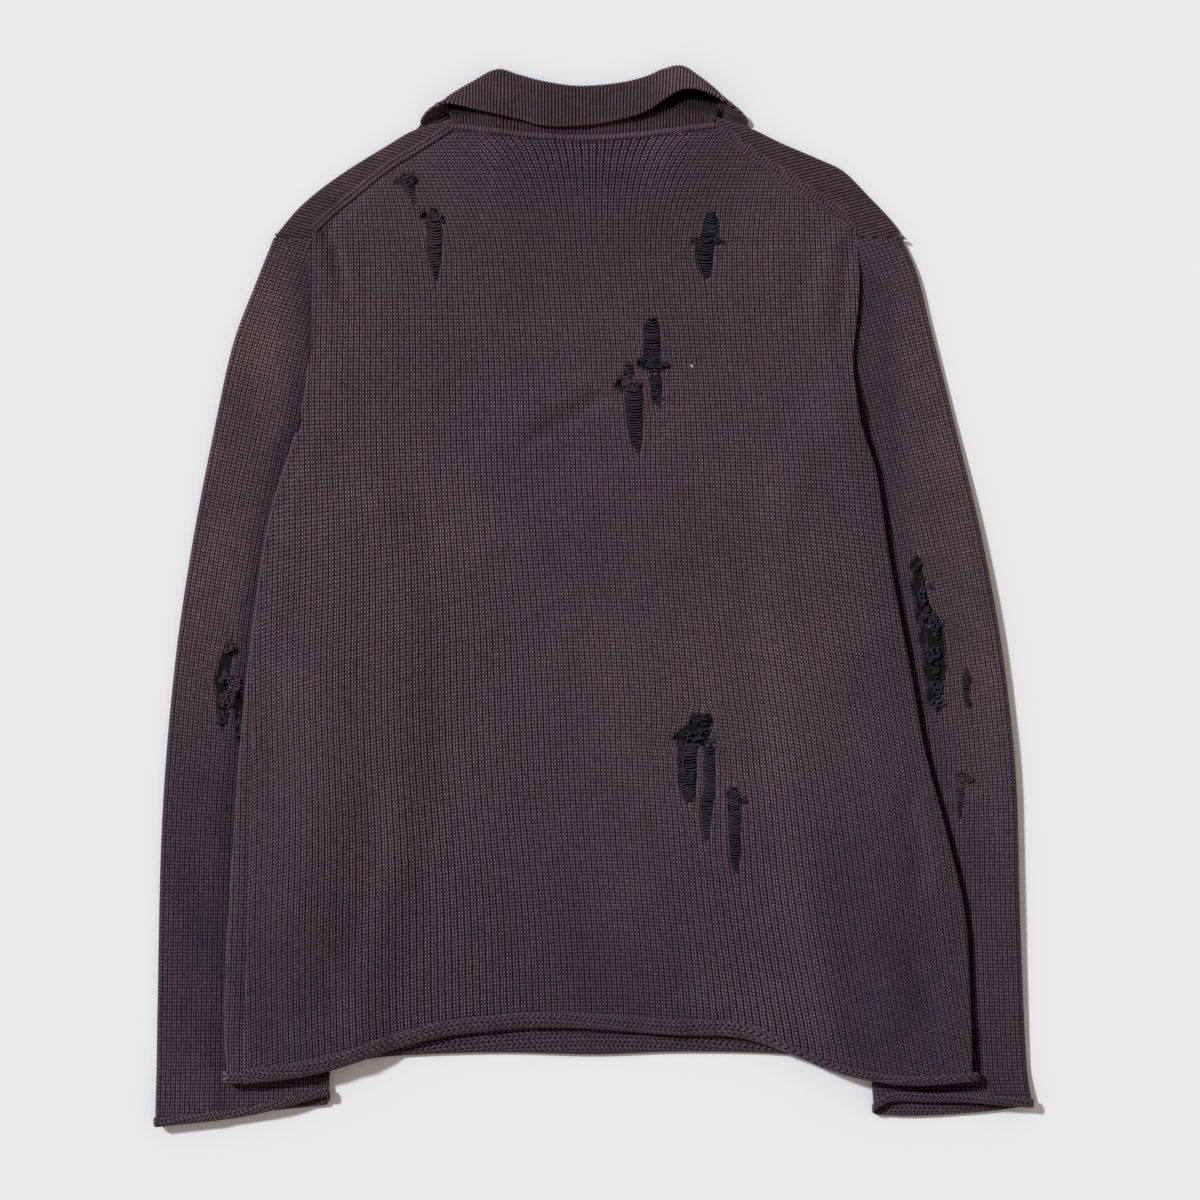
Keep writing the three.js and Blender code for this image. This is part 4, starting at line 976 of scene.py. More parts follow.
def build_front(knit):
    """The front: plain and coarse where it is hidden, fine at the hem, left strip and shoulders."""
    wales = spaced([(ARMHOLE_LEFT, NECK_LEFT, 2.4), (NECK_LEFT, NECK_RIGHT, 4.2), (NECK_RIGHT, ARMHOLE_RIGHT, 2.4)])
    low_share = spaced([(0, 0.04, 0.005), (0.04, 0.3, 0.013), (0.3, 1.0, 0.02)])
    neck = (wales > NECK_LEFT + 0.01) & (wales < NECK_RIGHT - 0.01)
    start = SLEEVE_TOP + 0.2
    low_top = np.where(neck, front_neck(wales), start)
    v, wale = np.meshgrid(low_share, wales, indexing="ij")
    share = (wale - ARMHOLE_LEFT) / (ARMHOLE_RIGHT - ARMHOLE_LEFT)
    x = wale.copy()
    y = lerp(-340.0, 259.0, v)
    for _ in range(SETTLING):
        y = lerp(front_hem(x) + HALF + FRONT_ROLL["along"], low_top[None], v)
        top = ease((UNDERARM - 2 - y) / 8)
        left = body_left(y) + lerp(GAP, HALF + FOLD, top)
        right = body_right(y) - lerp(GAP, HALF + RIGHT_FOLD + RIGHT_STRIP + GAP, top)
        x = lerp(left, right, share)
        x[-1] = np.where(neck, x[-1], wales)
    low = np.stack([x, y, front_height(x, y)], -1)
    materials = ("Body knit", "Body reverse", "Shoulder band")

    # flat part, seen from above only at the hem, as the cloth's reverse
    base = low[0].copy()
    outward = np.stack([np.zeros(len(base)), -np.ones(len(base))], -1)
    uv = body_map(x, y, knit)
    roll, uv_roll = rolled(base, FRONT_ROLL["along"], FRONT_ROLL["high"], outward, 0.3, FRONT_ROWS,
                           FRONT_ROLL["along"] + HALF, uv, knit)

    # shoulders: fold over and run back down to the seam
    high = []
    outline_y = np.where(wales < 0, shoulder_left(wales), shoulder_right(wales))
    out = np.where((wales < 0)[:, None], outward_of(shoulder_left, wales), outward_of(shoulder_right, wales))
    rim = np.stack([wales, outline_y], -1) - out * (HALF + FOLD)
    for t in np.linspace(0, 1, 9)[1:]:
        px, py = lerp(wales, rim[:, 0], t), lerp(start, rim[:, 1], t)
        high.append(np.stack([px, py, front_height(px, py)], -1))
    last = high[-1]
    for degrees in np.linspace(0, 180, 11)[1:]:
        turn = math.radians(degrees)
        skin = lerp(0, HALF, ease(np.array(degrees / 90.0)))
        px = rim[:, 0] + out[:, 0] * (FOLD + skin) * math.sin(turn)
        py = rim[:, 1] + out[:, 1] * (FOLD + skin) * math.sin(turn)
        pz = last[:, 2] + FOLD - (FOLD + skin) * math.cos(turn)
        high.append(np.stack([px, py, pz], -1))
    seam_y = back_top(wales) + GAP / 2
    seam = np.stack([wales, seam_y, front_height(wales, seam_y) + LAYER + HALF], -1)
    over = high[-1]
    for t in np.linspace(0, 1, 9)[1:]:
        place = lerp(over, seam, t)
        place[:, 2] = front_height(place[:, 0], place[:, 1]) + LAYER + HALF
        place[:, 2] += 0.5 * math.sin(math.pi * t)
        high.append(place)
    high = np.stack(high)
    high_uv = band_map(high[..., 0], high[..., 1], knit)
    points = np.concatenate([roll, low, high])
    uv_all = np.concatenate([uv_roll, uv, high_uv])
    rows_low = FRONT_ROWS + len(low_share)
    kept = np.ones(points.shape[:2], bool)
    inner = (wales >= NECK_LEFT - 0.01) & (wales < NECK_RIGHT - 0.01)
    kept[rows_low - 1:, inner] = False
    reverse = np.ones(points.shape[:2], int)
    reverse[rows_low - 1 + 8:] = 2
    pieces = [grid_mesh("front", points, uv_all, marks_and_shade_fields(points, BODY_MARKS_AND_SHADE), materials, kept, reverse=reverse)]

    # left strip: from the flat front round the side fold and onto the back
    ys = spaced([(-345.0, WRAP_TOP, 3.0)])
    leftx = body_left(ys) + HALF + FOLD
    zlow = front_height(leftx, ys)
    columns = []
    for reach in (1.0, 0.66, 0.33):
        lift = 0.35 * math.sin(math.pi * reach) - (0.7 if reach == 1.0 else 0.0)
        columns.append(np.stack([leftx + reach * left_strip(ys), ys, zlow + LAYER + HALF + lift], -1))
    for degrees in np.linspace(180, 0, 13):
        turn = math.radians(degrees)
        columns.append(np.stack([leftx - (FOLD + HALF) * math.sin(turn), ys,
                                 zlow + FOLD - (FOLD + HALF) * math.cos(turn)], -1))
    columns.append(np.stack([leftx + 6.0, ys, zlow - 0.4], -1))
    strip = np.stack(columns, 1)
    across = np.cumsum(np.concatenate([np.zeros((len(ys), 1)),
                       np.linalg.norm(np.diff(strip, axis=1), axis=-1)], 1), axis=1)
    uv_strip = np.stack([across * MM / knit.wale, np.broadcast_to(ys[:, None] * MM / knit.course, across.shape)], -1)
    base = strip[0].copy()
    turns = np.radians(np.concatenate([[180, 180, 180], np.linspace(180, 0, 13), [0]]))
    outward = np.stack([-np.sin(turns), -np.cos(turns)], -1)
    base[:, 0] -= outward[:, 0] * HALF
    base[:, 2] -= outward[:, 1] * HALF
    roll, uv_roll = rolled(base, BACK_ROLL["wide"] * 0.7, BACK_ROLL["high"] * 0.8, outward, HALF, HEM_ROWS, 4.5,
                           uv_strip, knit)
    points = np.concatenate([roll, strip])
    reverse = np.zeros(points.shape[:2], bool)
    reverse[:HEM_ROWS] = True
    pieces.append(grid_mesh("front_side", points, np.concatenate([uv_roll, uv_strip]),
                            marks_and_shade_fields(points, BODY_MARKS_AND_SHADE), materials, reverse=reverse))

    # shoulder ends beyond the armhole seams, down to the sleeves' heads
    for name, xs, outline in (("front_end_left", np.linspace(-231.0, ARMHOLE_LEFT, 14), shoulder_left),
                              ("front_end_right", np.linspace(ARMHOLE_RIGHT, 221.0, 14), shoulder_right)):
        out = outward_of(outline, xs)
        rim = np.stack([xs, np.maximum(outline(xs), start + HALF + FOLD)], -1) - out * (HALF + FOLD)
        rows = [np.stack([xs, np.full_like(xs, start), np.full_like(xs, HALF)], -1)]
        for degrees in np.linspace(0, 180, 13):
            turn = math.radians(degrees)
            rows.append(np.stack([rim[:, 0] + out[:, 0] * (FOLD + HALF) * math.sin(turn),
                                  rim[:, 1] + out[:, 1] * (FOLD + HALF) * math.sin(turn),
                                  HALF + FOLD - (FOLD + HALF) * math.cos(turn) + 0 * xs], -1))
        goal = np.where(np.abs(xs + 7.5) < 197.0, back_top(np.clip(xs, -205, 191)) + GAP / 2, start)
        seam = np.stack([xs, goal, np.full_like(xs, HALF + LAYER + HALF)], -1)
        for t in np.linspace(0, 1, 8)[1:]:
            rows.append(lerp(rows[13], seam, t) + np.array([0, 0, 0.5 * math.sin(math.pi * t)]))
        points = np.stack(rows)
        uv_end = band_map(points[..., 0], points[..., 1], knit)
        pieces.append(grid_mesh(name, points, uv_end, marks_and_shade_fields(points, BODY_MARKS_AND_SHADE), materials,
                                reverse=np.full(points.shape[:2], 2)))
    return pieces


def build_sleeve(name, side, outer, inner, body_edge, cuff, mouth, knit, puffs):
    """A flattened tube: the upper layer fine, the lower one plain, open at the armhole and the cuff."""
    across = spaced([(0, 0.04, 0.008), (0.04, 0.62, 0.011), (0.62, 1.0, 0.03)])
    rise = spaced([(0, 0.08, 0.0045), (0.08, 0.34, 0.0056), (0.34, 0.64, 0.0033), (0.64, 1.0, 0.0056)])
    v, u = np.meshgrid(rise, across, indexing="ij")

    def layer(is_top):
        lip = cuff[0] if is_top else cuff[1]
        x = lerp(outer(-375), inner(-375), u)
        y = lerp(-375.0, SLEEVE_TOP, v)
        for _ in range(SETTLING):
            y = lerp(lip(lerp(outer(-375), inner(-375), u)) + HALF + CUFF_ROLL["along"], SLEEVE_TOP - GAP / 2, v)
            folded = ease((UNDERARM - y) / 6)
            inside = lerp(body_edge(y) - side * 2.0, inner(y), ease((UNDERARM - y) / 10))
            rim = side * (HALF + FOLD)
            x = lerp(outer(y) - rim, inside + rim * folded, u)
        gap = LAYER + mouth(u) * ease((-352 - y) / 22)
        z = HALF + cuff_rise(y) + (gap if is_top else 0 * gap)
        if is_top:
            shown = ease(side * (x - body_edge(y)) / 14)
            z = z + HALF + (relief(puffs, x, y) + 0.9 + 0.3 * np.sin(x / 8 + y / 23) * np.sin(y / 31)) * shown
            z = z - 0.9 * (1 - shown) * ease((UNDERARM + 20 - y) / 10)
        return x, y, z, gap

    xt, yt, zt, gap = layer(True)
    xu, yu, zu, _ = layer(False)
    push, inside, lip_ridge = ladder_fields(SLEEVE_COLUMNS, xt, yt)
    hole = hole_mask(SLEEVE_HOLES, xt, yt)
    inside = np.maximum(inside, hole)
    zt = zt - 1.4 * inside - 1.0 * hole + 0.4 * lip_ridge * (1 - hole)
    top = np.stack([xt, yt, zt], -1)
    under = np.stack([xu, yu, zu], -1)[:, ::-1]
    fold_turns = np.radians(np.linspace(0, 180, 11))[1:-1]

    def fold_between(first, last, reach):
        """Half a turn of cloth from one edge to the other, bulging sideways."""
        middle, half = (first[:, 2] + last[:, 2]) / 2, (first[:, 2] - last[:, 2]) / 2
        return np.stack([np.stack([lerp(first[:, 0], last[:, 0], t / math.pi) + reach * math.sin(t),
                                   lerp(first[:, 1], last[:, 1], t / math.pi), middle + half * math.cos(t)], -1)
                         for t in fold_turns], 1)

    inner_fold = fold_between(top[:, -1], under[:, 0], -side * FOLD)
    outer_fold = fold_between(under[:, -1], top[:, 0], side * (FOLD + HALF))
    points = np.concatenate([top, inner_fold, under, outer_fold], 1)
    from_edge = np.abs(xt - push - outer(yt))
    slant = through([(-380, 0.0), (-200, 0.02), (-50, 0.16), (260, 0.26)])
    wales_top = from_edge * MM / (0.93 * knit.wale)
    courses_top = (yt + slant(yt) * from_edge) * MM / knit.course
    uv_top = np.stack([wales_top, courses_top], -1)
    fold_wales = np.cumsum(np.full(len(fold_turns), 0.35))

    def fold_uv(edge, steps):
        return np.stack([edge[:, :1] + steps, np.broadcast_to(edge[:, 1:], (len(rise), len(fold_turns)))], -1)

    uv_inner = fold_uv(uv_top[:, -1], fold_wales)
    uv_under = np.stack([uv_inner[:, -1:, 0] + np.abs(xu - xu[:, -1:])[:, ::-1] * MM / knit.wale,
                         (yu * MM / knit.course)[:, ::-1]], -1)
    uv_outer = fold_uv(uv_top[:, 0], -fold_wales[::-1])
    uv = np.concatenate([uv_top, uv_inner, uv_under, uv_outer], 1)

    count = len(across)
    outward = np.zeros((points.shape[1], 2))
    outward[:count, 1] = 1
    outward[count:count + len(fold_turns), 0] = -side * np.sin(fold_turns) * 0.3
    outward[count:count + len(fold_turns), 1] = np.cos(fold_turns)
    outward[count + len(fold_turns):2 * count + len(fold_turns), 1] = -1
    outward[2 * count + len(fold_turns):, 0] = side * np.sin(fold_turns) * 0.3
    outward[2 * count + len(fold_turns):, 1] = -np.cos(fold_turns)
    base = points[0].copy()
    base[:count, 2] -= HALF
    skin = np.where(outward[:, 1] > 0, HALF, 0.3)
    roll, uv_roll = rolled(base, CUFF_ROLL["along"], CUFF_ROLL["high"], outward, skin, CUFF_ROWS,
                           CUFF_ROLL["along"] + HALF, uv, knit)
    points = np.concatenate([roll, points])
    uv = np.concatenate([uv_roll, uv])
    reverse = np.zeros(points.shape[:2], bool)
    reverse[:CUFF_ROWS, :count + 5] = True
    reverse[CUFF_ROWS:CUFF_ROWS + 12, count + len(fold_turns):2 * count + len(fold_turns)] = True
    kept = np.ones(points.shape[:2], bool)
    columns = slice(count - 1, count + len(fold_turns))
    kept[:, columns] = points[:, columns, 1] < WRAP_TOP
    open_knit_shade = np.zeros(points.shape[:2])
    open_knit_shade[CUFF_ROWS:, :count] = inside
    fields = marks_and_shade_fields(points, SLEEVE_MARKS_AND_SHADE, open_knit_shade)
    # painted shadow: the sleeve is darkened next to the body's raised edge, which shades it; further along that edge
    # the wool is bluer, where the body covers it and it has kept its dye
    shaded = side * (points[..., 0] - body_edge(points[..., 1])) - (1.5 if side > 0 else -2.0)
    low = ease((SLEEVE_TOP - 12 - points[..., 1]) / 20) * ease((points[..., 1] + 352) / 14)
    fields["Dark patch and shade"] = np.maximum(fields["Dark patch and shade"], 1.1 * ease(1 - shaded / 5.0) * low)
    fields["Navy"] = np.maximum(fields["Navy"], 0.65 * ease(1 - shaded / 22.0) * low)
    if side < 0:
        points, uv, reverse, kept = points[:, ::-1], uv[:, ::-1], reverse[:, ::-1], kept[:, ::-1]
        kept = np.roll(kept, -1, 1)
        reverse = np.roll(reverse, -1, 1)
        fields = {key: value[:, ::-1] for key, value in fields.items()}
    return grid_mesh(name, points, uv, fields, ("Sleeve knit", "Body reverse"), kept, True, reverse)


LEAF = [(-15, 235.5, -15, 259, -15, 192), (-38, 237.8, -40, 260, -38, 193), (-60, 241.7, -55, 264, -70, 198),
        (-85, 250.6, -74, 271, -106, 211), (-102, 260, -86, 277, -132, 232), (-102, 280, -81, 286, -146, 262),
        (-102, 300, -80, 307, -148, 290), (-102, 322, -86, 334, -143, 316), (-101.8, 338.5, -97, 352, -132, 334)]
TURN = [(135, -100.5, 347, -106.5, 351, -122, 341, 0), (90, -100.5, 348.5, -107, 354.5, -120.5, 343.5, 0),
        (45, -101, 347, -106, 358.5, -117, 349, 1)]
BACK_COLLAR = [
    (0, -101.5, 340.8, -104, 362, -109, 355, 4), (0, -85, 337.5, -88, 371.5, -88, 351.5, 3),
    (0, -71, 336, -70, 380.5, -71, 348, 2), (0, -55, 334.4, -55, 377, -54, 344.5, 1),
    (0, -38, 332.9, -38, 372.5, -38, 340, 1), (0, -15, 331.6, -15, 369, -15, 339.5, 1),
    (0, 4, 331.6, 4, 369.5, 4, 341.5, 1), (0, 22, 332.8, 23, 372, 22, 345, 2),
    (0, 38, 334.4, 38, 376, 38, 350, 4), (0, 50, 335.6, 50, 381, 49, 357, 6),
    (0, 62, 337.2, 63, 383, 62, 364.5, 7), (0, 74, 338.7, 74, 376.5, 74, 365, 7),
    (0, 86, 342, 89, 364.5, 90, 359, 6),
]


def mirrored(section):
    middle = NECK_LEFT + NECK_RIGHT
    turn, *rest = section
    return (turn, *[middle - value if i % 2 == 0 and i < 6 else value for i, value in enumerate(rest)])


def collar_sections():
    left = [(180, *section, 0) for section in LEAF] + TURN
    return left + BACK_COLLAR + [mirrored(section) for section in left[::-1]]


STAND_ROWS = 8


def build_collar(knit):
    """One rib band through the part's sections, closed, with a rib every few millimetres."""
    sections = collar_sections()
    rows_of = []
    for turn, sx, sy, fx, fy, ex, ey, lift in sections:
        out = -1 if sx < (NECK_LEFT + NECK_RIGHT) / 2 else 1
        swing = math.radians(turn)
        inward = np.array([fx - sx, fy - sy])
        inward = inward / np.linalg.norm(inward)
        seam = np.array([sx, sy], float)
        top = np.array([fx, fy]) - inward * (HALF + FOLD)
        edge = np.array([ex, ey], float)
        if turn == 0:
            middle = float(back_height(np.array(sx), np.array(sy - 1.0), fine=False)) - FOLD
        else:
            middle = HALF + LAYER + FOLD

        def place(plan, offset, raise_by=0.0):
            return (plan[0] + out * offset * math.sin(swing), plan[1],
                    middle + offset * math.cos(swing) + raise_by)
        # where the fall stands off, the upper stand drops away behind it
        rows = [place(lerp(seam, top, t), FOLD, -0.8 * lift * ease(np.array((t - 0.5) / 0.2)))
                for t in np.linspace(0, 1, STAND_ROWS + 1)[:-1]]
        for degrees in np.linspace(0, 180, 9):
            over = math.radians(degrees)
            rows.append(place(top + inward * FOLD * math.sin(over), 2 * FOLD - FOLD * math.cos(over)))
        rows += [place(lerp(top, edge, t), 3 * FOLD, lift * t ** 1.5 + 0.7 * math.sin(math.pi * t))
                 for t in np.linspace(0, 1, 11)[1:]]
        rows_of.append(rows)
    stack = np.array(rows_of)  # sections, rows, 3
    guide = stack[:, 16]
    length = np.concatenate([[0], np.cumsum(np.linalg.norm(np.diff(guide, axis=0), axis=1))])
    per_rib = 4
    ribs = int(length[-1] / (knit.rib / MM))
    at = np.linspace(0, length[-1], ribs * per_rib + 1)
    grid = np.zeros((stack.shape[1], len(at), 3))
    for row in range(stack.shape[1]):
        for axis in range(3):
            grid[row, :, axis] = through(list(zip(length, stack[:, row, axis])))(at)
    along = np.gradient(grid, axis=1)
    up = np.gradient(grid, axis=0)
    normal = np.cross(along, up)
    normal /= np.maximum(np.linalg.norm(normal, axis=-1, keepdims=True), 1e-9)
    wave = np.cos(2 * np.pi * np.arange(len(at)) / per_rib)[None, :]
    bead = np.zeros(stack.shape[1])
    bead[-1] = 0.5
    bead[-2] = 0.35
    # the ribs lie flatter where the collar turns over at its ends
    turned = np.interp(at, length, [section[0] for section in sections])
    crisp = np.cos(np.radians(turned))[None, :, None] ** 4
    lumps = 0.42 * wave[..., None] * crisp + bead[:, None, None] * (0.3 + 0.7 * crisp)
    face = grid + normal * (HALF - 0.35 + lumps)
    back = grid - normal * (HALF - 0.35 + lumps)
    rim_top = (face[-1:] + back[-1:]) / 2 + up[-1:] / np.linalg.norm(up[-1:], axis=-1, keepdims=True) * 0.7
    rim_low = (face[:1] + back[:1]) / 2
    loop = np.concatenate([face, rim_top, back[::-1], rim_low])
    loop[..., 2] = np.maximum(loop[..., 2], 0)
    rows, columns = loop.shape[:2]
    u = np.broadcast_to(np.arange(columns)[None, :] / per_rib, (rows, columns))
    steps = np.linalg.norm(np.diff(loop, axis=0), axis=-1).mean(1)
    v = np.broadcast_to(np.concatenate([[0], np.cumsum(steps)])[:, None] * MM / knit.course, (rows, columns))
    # a ring round each section, with its two ends closed
    uv = np.stack([u + 0.5, v], -1).transpose(1, 0, 2)
    points = loop.transpose(1, 0, 2)
    first = np.broadcast_to(points[:1].mean(1, keepdims=True), points[:1].shape)
    final = np.broadcast_to(points[-1:].mean(1, keepdims=True), points[-1:].shape)
    points = np.concatenate([first, points, final])[::-1]
    uv = np.concatenate([uv[:1], uv, uv[-1:]])[::-1]
    fields = {"Rust": blotch(points[..., 0], points[..., 1], [(60, 375, 30, 14, 0.3), (-90, 368, 40, 14, 0.2)]),
              "Navy": np.zeros(points.shape[:2]), "Dark patch and shade": np.zeros(points.shape[:2])}
    edge_rows = slice(stack.shape[1] - 2, stack.shape[1] + 2)
    fields["Rust"][:, edge_rows] += 0.3
    # painted shade: the stand is darkened under the fall where the fall stands off it
    lifted = np.interp(at, length, [section[-1] for section in sections])
    lifted = np.concatenate([lifted[:1], lifted, lifted[-1:]])[::-1]
    for row in range(STAND_ROWS + 1):
        fields["Dark patch and shade"][:, row] = 1.75 * ease((row / STAND_ROWS - 0.15) / 0.3) * ease(lifted / 4)
    return grid_mesh("collar", points, uv, fields, ("Rib knit",), ring=True)


def seam_beads(route, pitch, rows, lean, radius, reach, lift):
    """A linking seam: a soft ridge with slanting loops of yarn laid side by side on it."""
    route = np.array(route, float)
    steps = np.concatenate([[0], np.cumsum(np.linalg.norm(np.diff(route, axis=0), axis=1))])
    ahead_all = np.gradient(route, axis=0)
    ahead_all /= np.linalg.norm(ahead_all, axis=1, keepdims=True)
    parts = []
    for offset in rows:
        core = route + offset * np.column_stack([-ahead_all[:, 1], ahead_all[:, 0]])
        z = seam_height(route[:, 0], route[:, 1]) + lift - 0.9
        parts.append(yarn(np.column_stack([core, z]), reach * 0.85, sides=8, flat=0.6))
    count = int(steps[-1] / pitch)
    random = np.random.default_rng(len(route) + count)
    for i in range(count):
        at = (i + 0.5) * pitch
        middle = np.array([np.interp(at, steps, route[:, k]) for k in (0, 1)])
        ahead = np.array([np.interp(at, steps, ahead_all[:, k]) for k in (0, 1)])
        ahead /= max(np.linalg.norm(ahead), 1e-6)
        across = np.array([-ahead[1], ahead[0]])
        for k, offset in enumerate(rows):
            sign = 1 if k % 2 == 0 else -1
            slant = sign * lean + random.uniform(-0.35, 0.35)
            ts = np.linspace(-1, 1, 9)
            plan = middle + np.outer(offset + ts * reach, across) + np.outer(ts * slant, ahead)
            z = seam_height(middle[0], middle[1]) + lift - 0.9 * ts ** 2 + random.uniform(-0.12, 0.12)
            parts.append(yarn(np.column_stack([plan, z]), radius * (1 - 0.2 * ts ** 2), sides=8))
    return parts


def seam_height(x, y):
    """Top of the cloth just below a seam."""
    return back_height(np.asarray(x, float), np.asarray(y, float) - 1.0, fine=False) + HALF


def darn_parts(columns, tangles, surface, seed, laddered=True):
    """Rungs across each ladder, bowed more towards its foot, and loose loops of yarn at its ends."""
    random = np.random.default_rng(seed)
    parts = []
    for stations in columns if laddered else ():
        high, low = stations[0][1], stations[-1][1]
        y = high + 0.9
        while y > low - 1.0:
            middle, half = column_shape(stations, np.array(y))
            middle, half = float(middle), float(half)
            if 0.5 < half < WIDEST_RUNG:
                ts = np.linspace(-1, 1, 11)
                foot = max(0.0, (high - y) / max(high - low, 1.0))
                bow = (1.5 * math.cos(math.pi * foot ** 1.6) + random.uniform(-0.3, 0.5)) * min(1.0, half / 4.0)
                tip = random.uniform(-0.5, 0.5)
                x = middle + ts * (half + 0.5)
                path_y = y + bow * (ts ** 2 - 0.5) + tip * ts
                z = surface(x, path_y) + HALF - 0.9 + 0.75 * (1 - ts ** 2) + random.uniform(-0.22, 0.22)
                parts.append(yarn(np.column_stack([x, path_y, z]), random.uniform(0.6, 0.85)))
            y -= random.uniform(1.85, 2.3)
    for x0, y0, wide, tall in tangles:
        for _ in range(int(3 + wide * tall / 4)):
            ts = np.linspace(0, 1, 15)
            turn = random.uniform(0, 2 * math.pi)
            spin = random.uniform(2.0, 5.0) * random.choice([-1, 1])
            start = np.array([x0, y0]) + random.uniform(-0.75, 0.75, 2) * [wide, tall]
            reach = random.uniform(0.9, 2.1)
            drift = random.uniform(-1, 1, 2) * [wide * 0.4, tall * 0.4]
            x = start[0] + reach * np.cos(turn + spin * ts) + drift[0] * ts
            y = start[1] + reach * 0.8 * np.sin(turn + spin * ts) + drift[1] * ts
            z = surface(x, y) + HALF - 0.3 + random.uniform(0.0, 0.8) + 0.6 * np.sin(ts * math.pi)
            thick = random.uniform(0.4, 0.6) if laddered else random.uniform(0.55, 0.85)
            parts.append(yarn(np.column_stack([x, y, z]), thick))
    return parts


# ---------------------------------------------------------------- operators

class SWEATER_OT_materials(bpy.types.Operator):
    """Make the knit, rib, seam and yarn materials"""
    bl_idname = "sweater.materials"
    bl_label = "Materials"

    def execute(self, context):
        knit, colours, _ = settings_of(context)
        stitch_group("Stocking stitch", stocking_stitch, 1.25)
        stitch_group("Reverse stitch", reverse_stitch, 0.85)
        stitch_group("Rib", rib_stitch, 0.7)
        wool_and_shade_group()
        relief_mm = knit.relief / MM
        for name in ("Body knit", "Sleeve knit"):
            wool_material(name, "Stocking stitch", colours, colours.body_colour, relief_mm, open_knit_shade=True)
        wool_material("Body reverse", "Reverse stitch", colours, colours.seam_colour, relief_mm)
        wool_material("Rib knit", "Rib", colours, colours.rib_colour, 0.7, 0.9)
        wool_material("Shoulder band", "Rib", colours, colours.rib_colour, 0.8, 0.9)
        yarn_material("Linking yarn", colours.seam_colour, 420.0, colours)
        yarn_material("Darning yarn", colours.darn_colour, 500.0, colours)
        return {"FINISHED"}


class SWEATER_OT_back(bpy.types.Operator):
    """Knit the back with its creases, ladders and rolled hem"""
    bl_idname = "sweater.back"
    bl_label = "Back"

    def execute(self, context):
        piece = finish_piece(build_back(context.scene.sweater_knit), ["back_panel"])
        return {"FINISHED"}


class SWEATER_OT_front(bpy.types.Operator):
    """Knit the front, its shoulder bands and the strip that wraps round the left side"""
    bl_idname = "sweater.front"
    bl_label = "Front"

    def execute(self, context):
        front, *rest = build_front(context.scene.sweater_knit)
        finish_piece(front, ["front_panel"])
        for piece in rest:
            finish_piece(piece, [])
        return {"FINISHED"}


class SWEATER_OT_sleeves(bpy.types.Operator):
    """Knit both sleeves as flattened tubes with rolled cuffs"""
    bl_idname = "sweater.sleeves"
    bl_label = "Sleeves"

    def execute(self, context):
        knit, _, _ = settings_of(context)
        left_puffs = [([(-250, 235), (-262, 150), (-276, 60)], 10, 1.2),
                      ([(-236, 120), (-262, 0), (-278, -120)], 12, -0.8),
                      ([(-300, -100), (-303, -200), (-300, -300)], 10, 0.9),
                      ([(-277, -180), (-280, -260), (-270, -340)], 12, -0.7)]
        right_puffs = [([(222, 240), (226, 200), (240, 140)], 7, 1.3),
                       ([(212, 215), (216, 150), (230, 60)], 6, -1.0),
                       ([(270, 40), (284, -60), (292, -160)], 10, 0.9),
                       ([(283, -200), (290, -280), (296, -345)], 12, 0.8),
                       ([(float(sleeve_right_outer(y)) - 4, y) for y in (150, 60, -40, -140, -240, -350)], 13, 2.8)]
        left = build_sleeve("sleeve_left_knit", -1, sleeve_left_outer, sleeve_left_inner, body_left, LEFT_CUFF,
                            lambda u: 4.5 * ease((u - 0.5) / 0.3) * ease((1.15 - u) / 0.3), knit, left_puffs)
        right = build_sleeve("sleeve_right_knit", 1, sleeve_right_outer, sleeve_right_inner, body_right, RIGHT_CUFF,
                             lambda u: 4.5 * ease((1.15 - u) / 0.3) * ease(u / 0.3), knit, right_puffs)
        for piece, node in ((left, "sleeve_left"), (right, "sleeve_right")):
            finish_piece(piece, [node])
        return {"FINISHED"}


class SWEATER_OT_collar(bpy.types.Operator):
    """Knit the rib collar"""
    bl_idname = "sweater.collar"
    bl_label = "Collar"

    def execute(self, context):
        knit, _, _ = settings_of(context)
        piece = finish_piece(build_collar(knit), ["collar"])
        return {"FINISHED"}


class SWEATER_OT_seams(bpy.types.Operator):
    """Link the neck and shoulder seams with raised chains"""
    bl_idname = "sweater.seams"
    bl_label = "Linking seams"

    def execute(self, context):
        material = bpy.data.materials["Linking yarn"]
        xs = np.linspace(NECK_LEFT - 0.5, NECK_RIGHT + 1.5, 60)
        neck = seam_beads(np.column_stack([xs, back_neck(xs)]), 2.55, (0.0,), 0.25, 0.98, 2.3, 0.5)
        finish_piece(joined_mesh("neck_chain", neck, material), ["neck_seam"])
        xs = np.linspace(-203, NECK_LEFT + 0.5, 40)
        left = seam_beads(np.column_stack([xs, back_shoulder_left(xs)]), 2.6, (-1.5, 1.5), 0.9, 1.0, 1.5, 0.3)
        finish_piece(joined_mesh("shoulder_chain_left", left, material), ["shoulder_seam_left"])
        xs = np.linspace(NECK_RIGHT + 1, 188, 40)
        right = seam_beads(np.column_stack([xs, back_shoulder_right(xs)]), 2.6, (-3.0, 0.0, 3.0), 0.9, 0.9, 1.7, -0.05)
        finish_piece(joined_mesh("shoulder_chain_right", right, material), ["shoulder_seam_right"])
        return {"FINISHED"}


def sleeve_surface(x, y):
    return HALF + LAYER + cuff_rise(y) + 0.9


class SWEATER_OT_darns(bpy.types.Operator):
    """Darn every ladder with rungs and tangles of navy yarn"""
    bl_idname = "sweater.darns"
    bl_label = "Darns"

    def execute(self, context):
        material = bpy.data.materials["Darning yarn"]
        seed = 5
        for columns, tangles, surface in ((BACK_COLUMNS, BACK_TANGLES, back_height),
                                          (SLEEVE_COLUMNS, SLEEVE_TANGLES, sleeve_surface)):
            for key, stations in columns.items():
                seed += 1
                parts = darn_parts(stations, tangles[key], surface, seed, key not in TANGLED)
                finish_piece(joined_mesh("yarn_" + key, parts, material), ["darn_" + key])
        return {"FINISHED"}


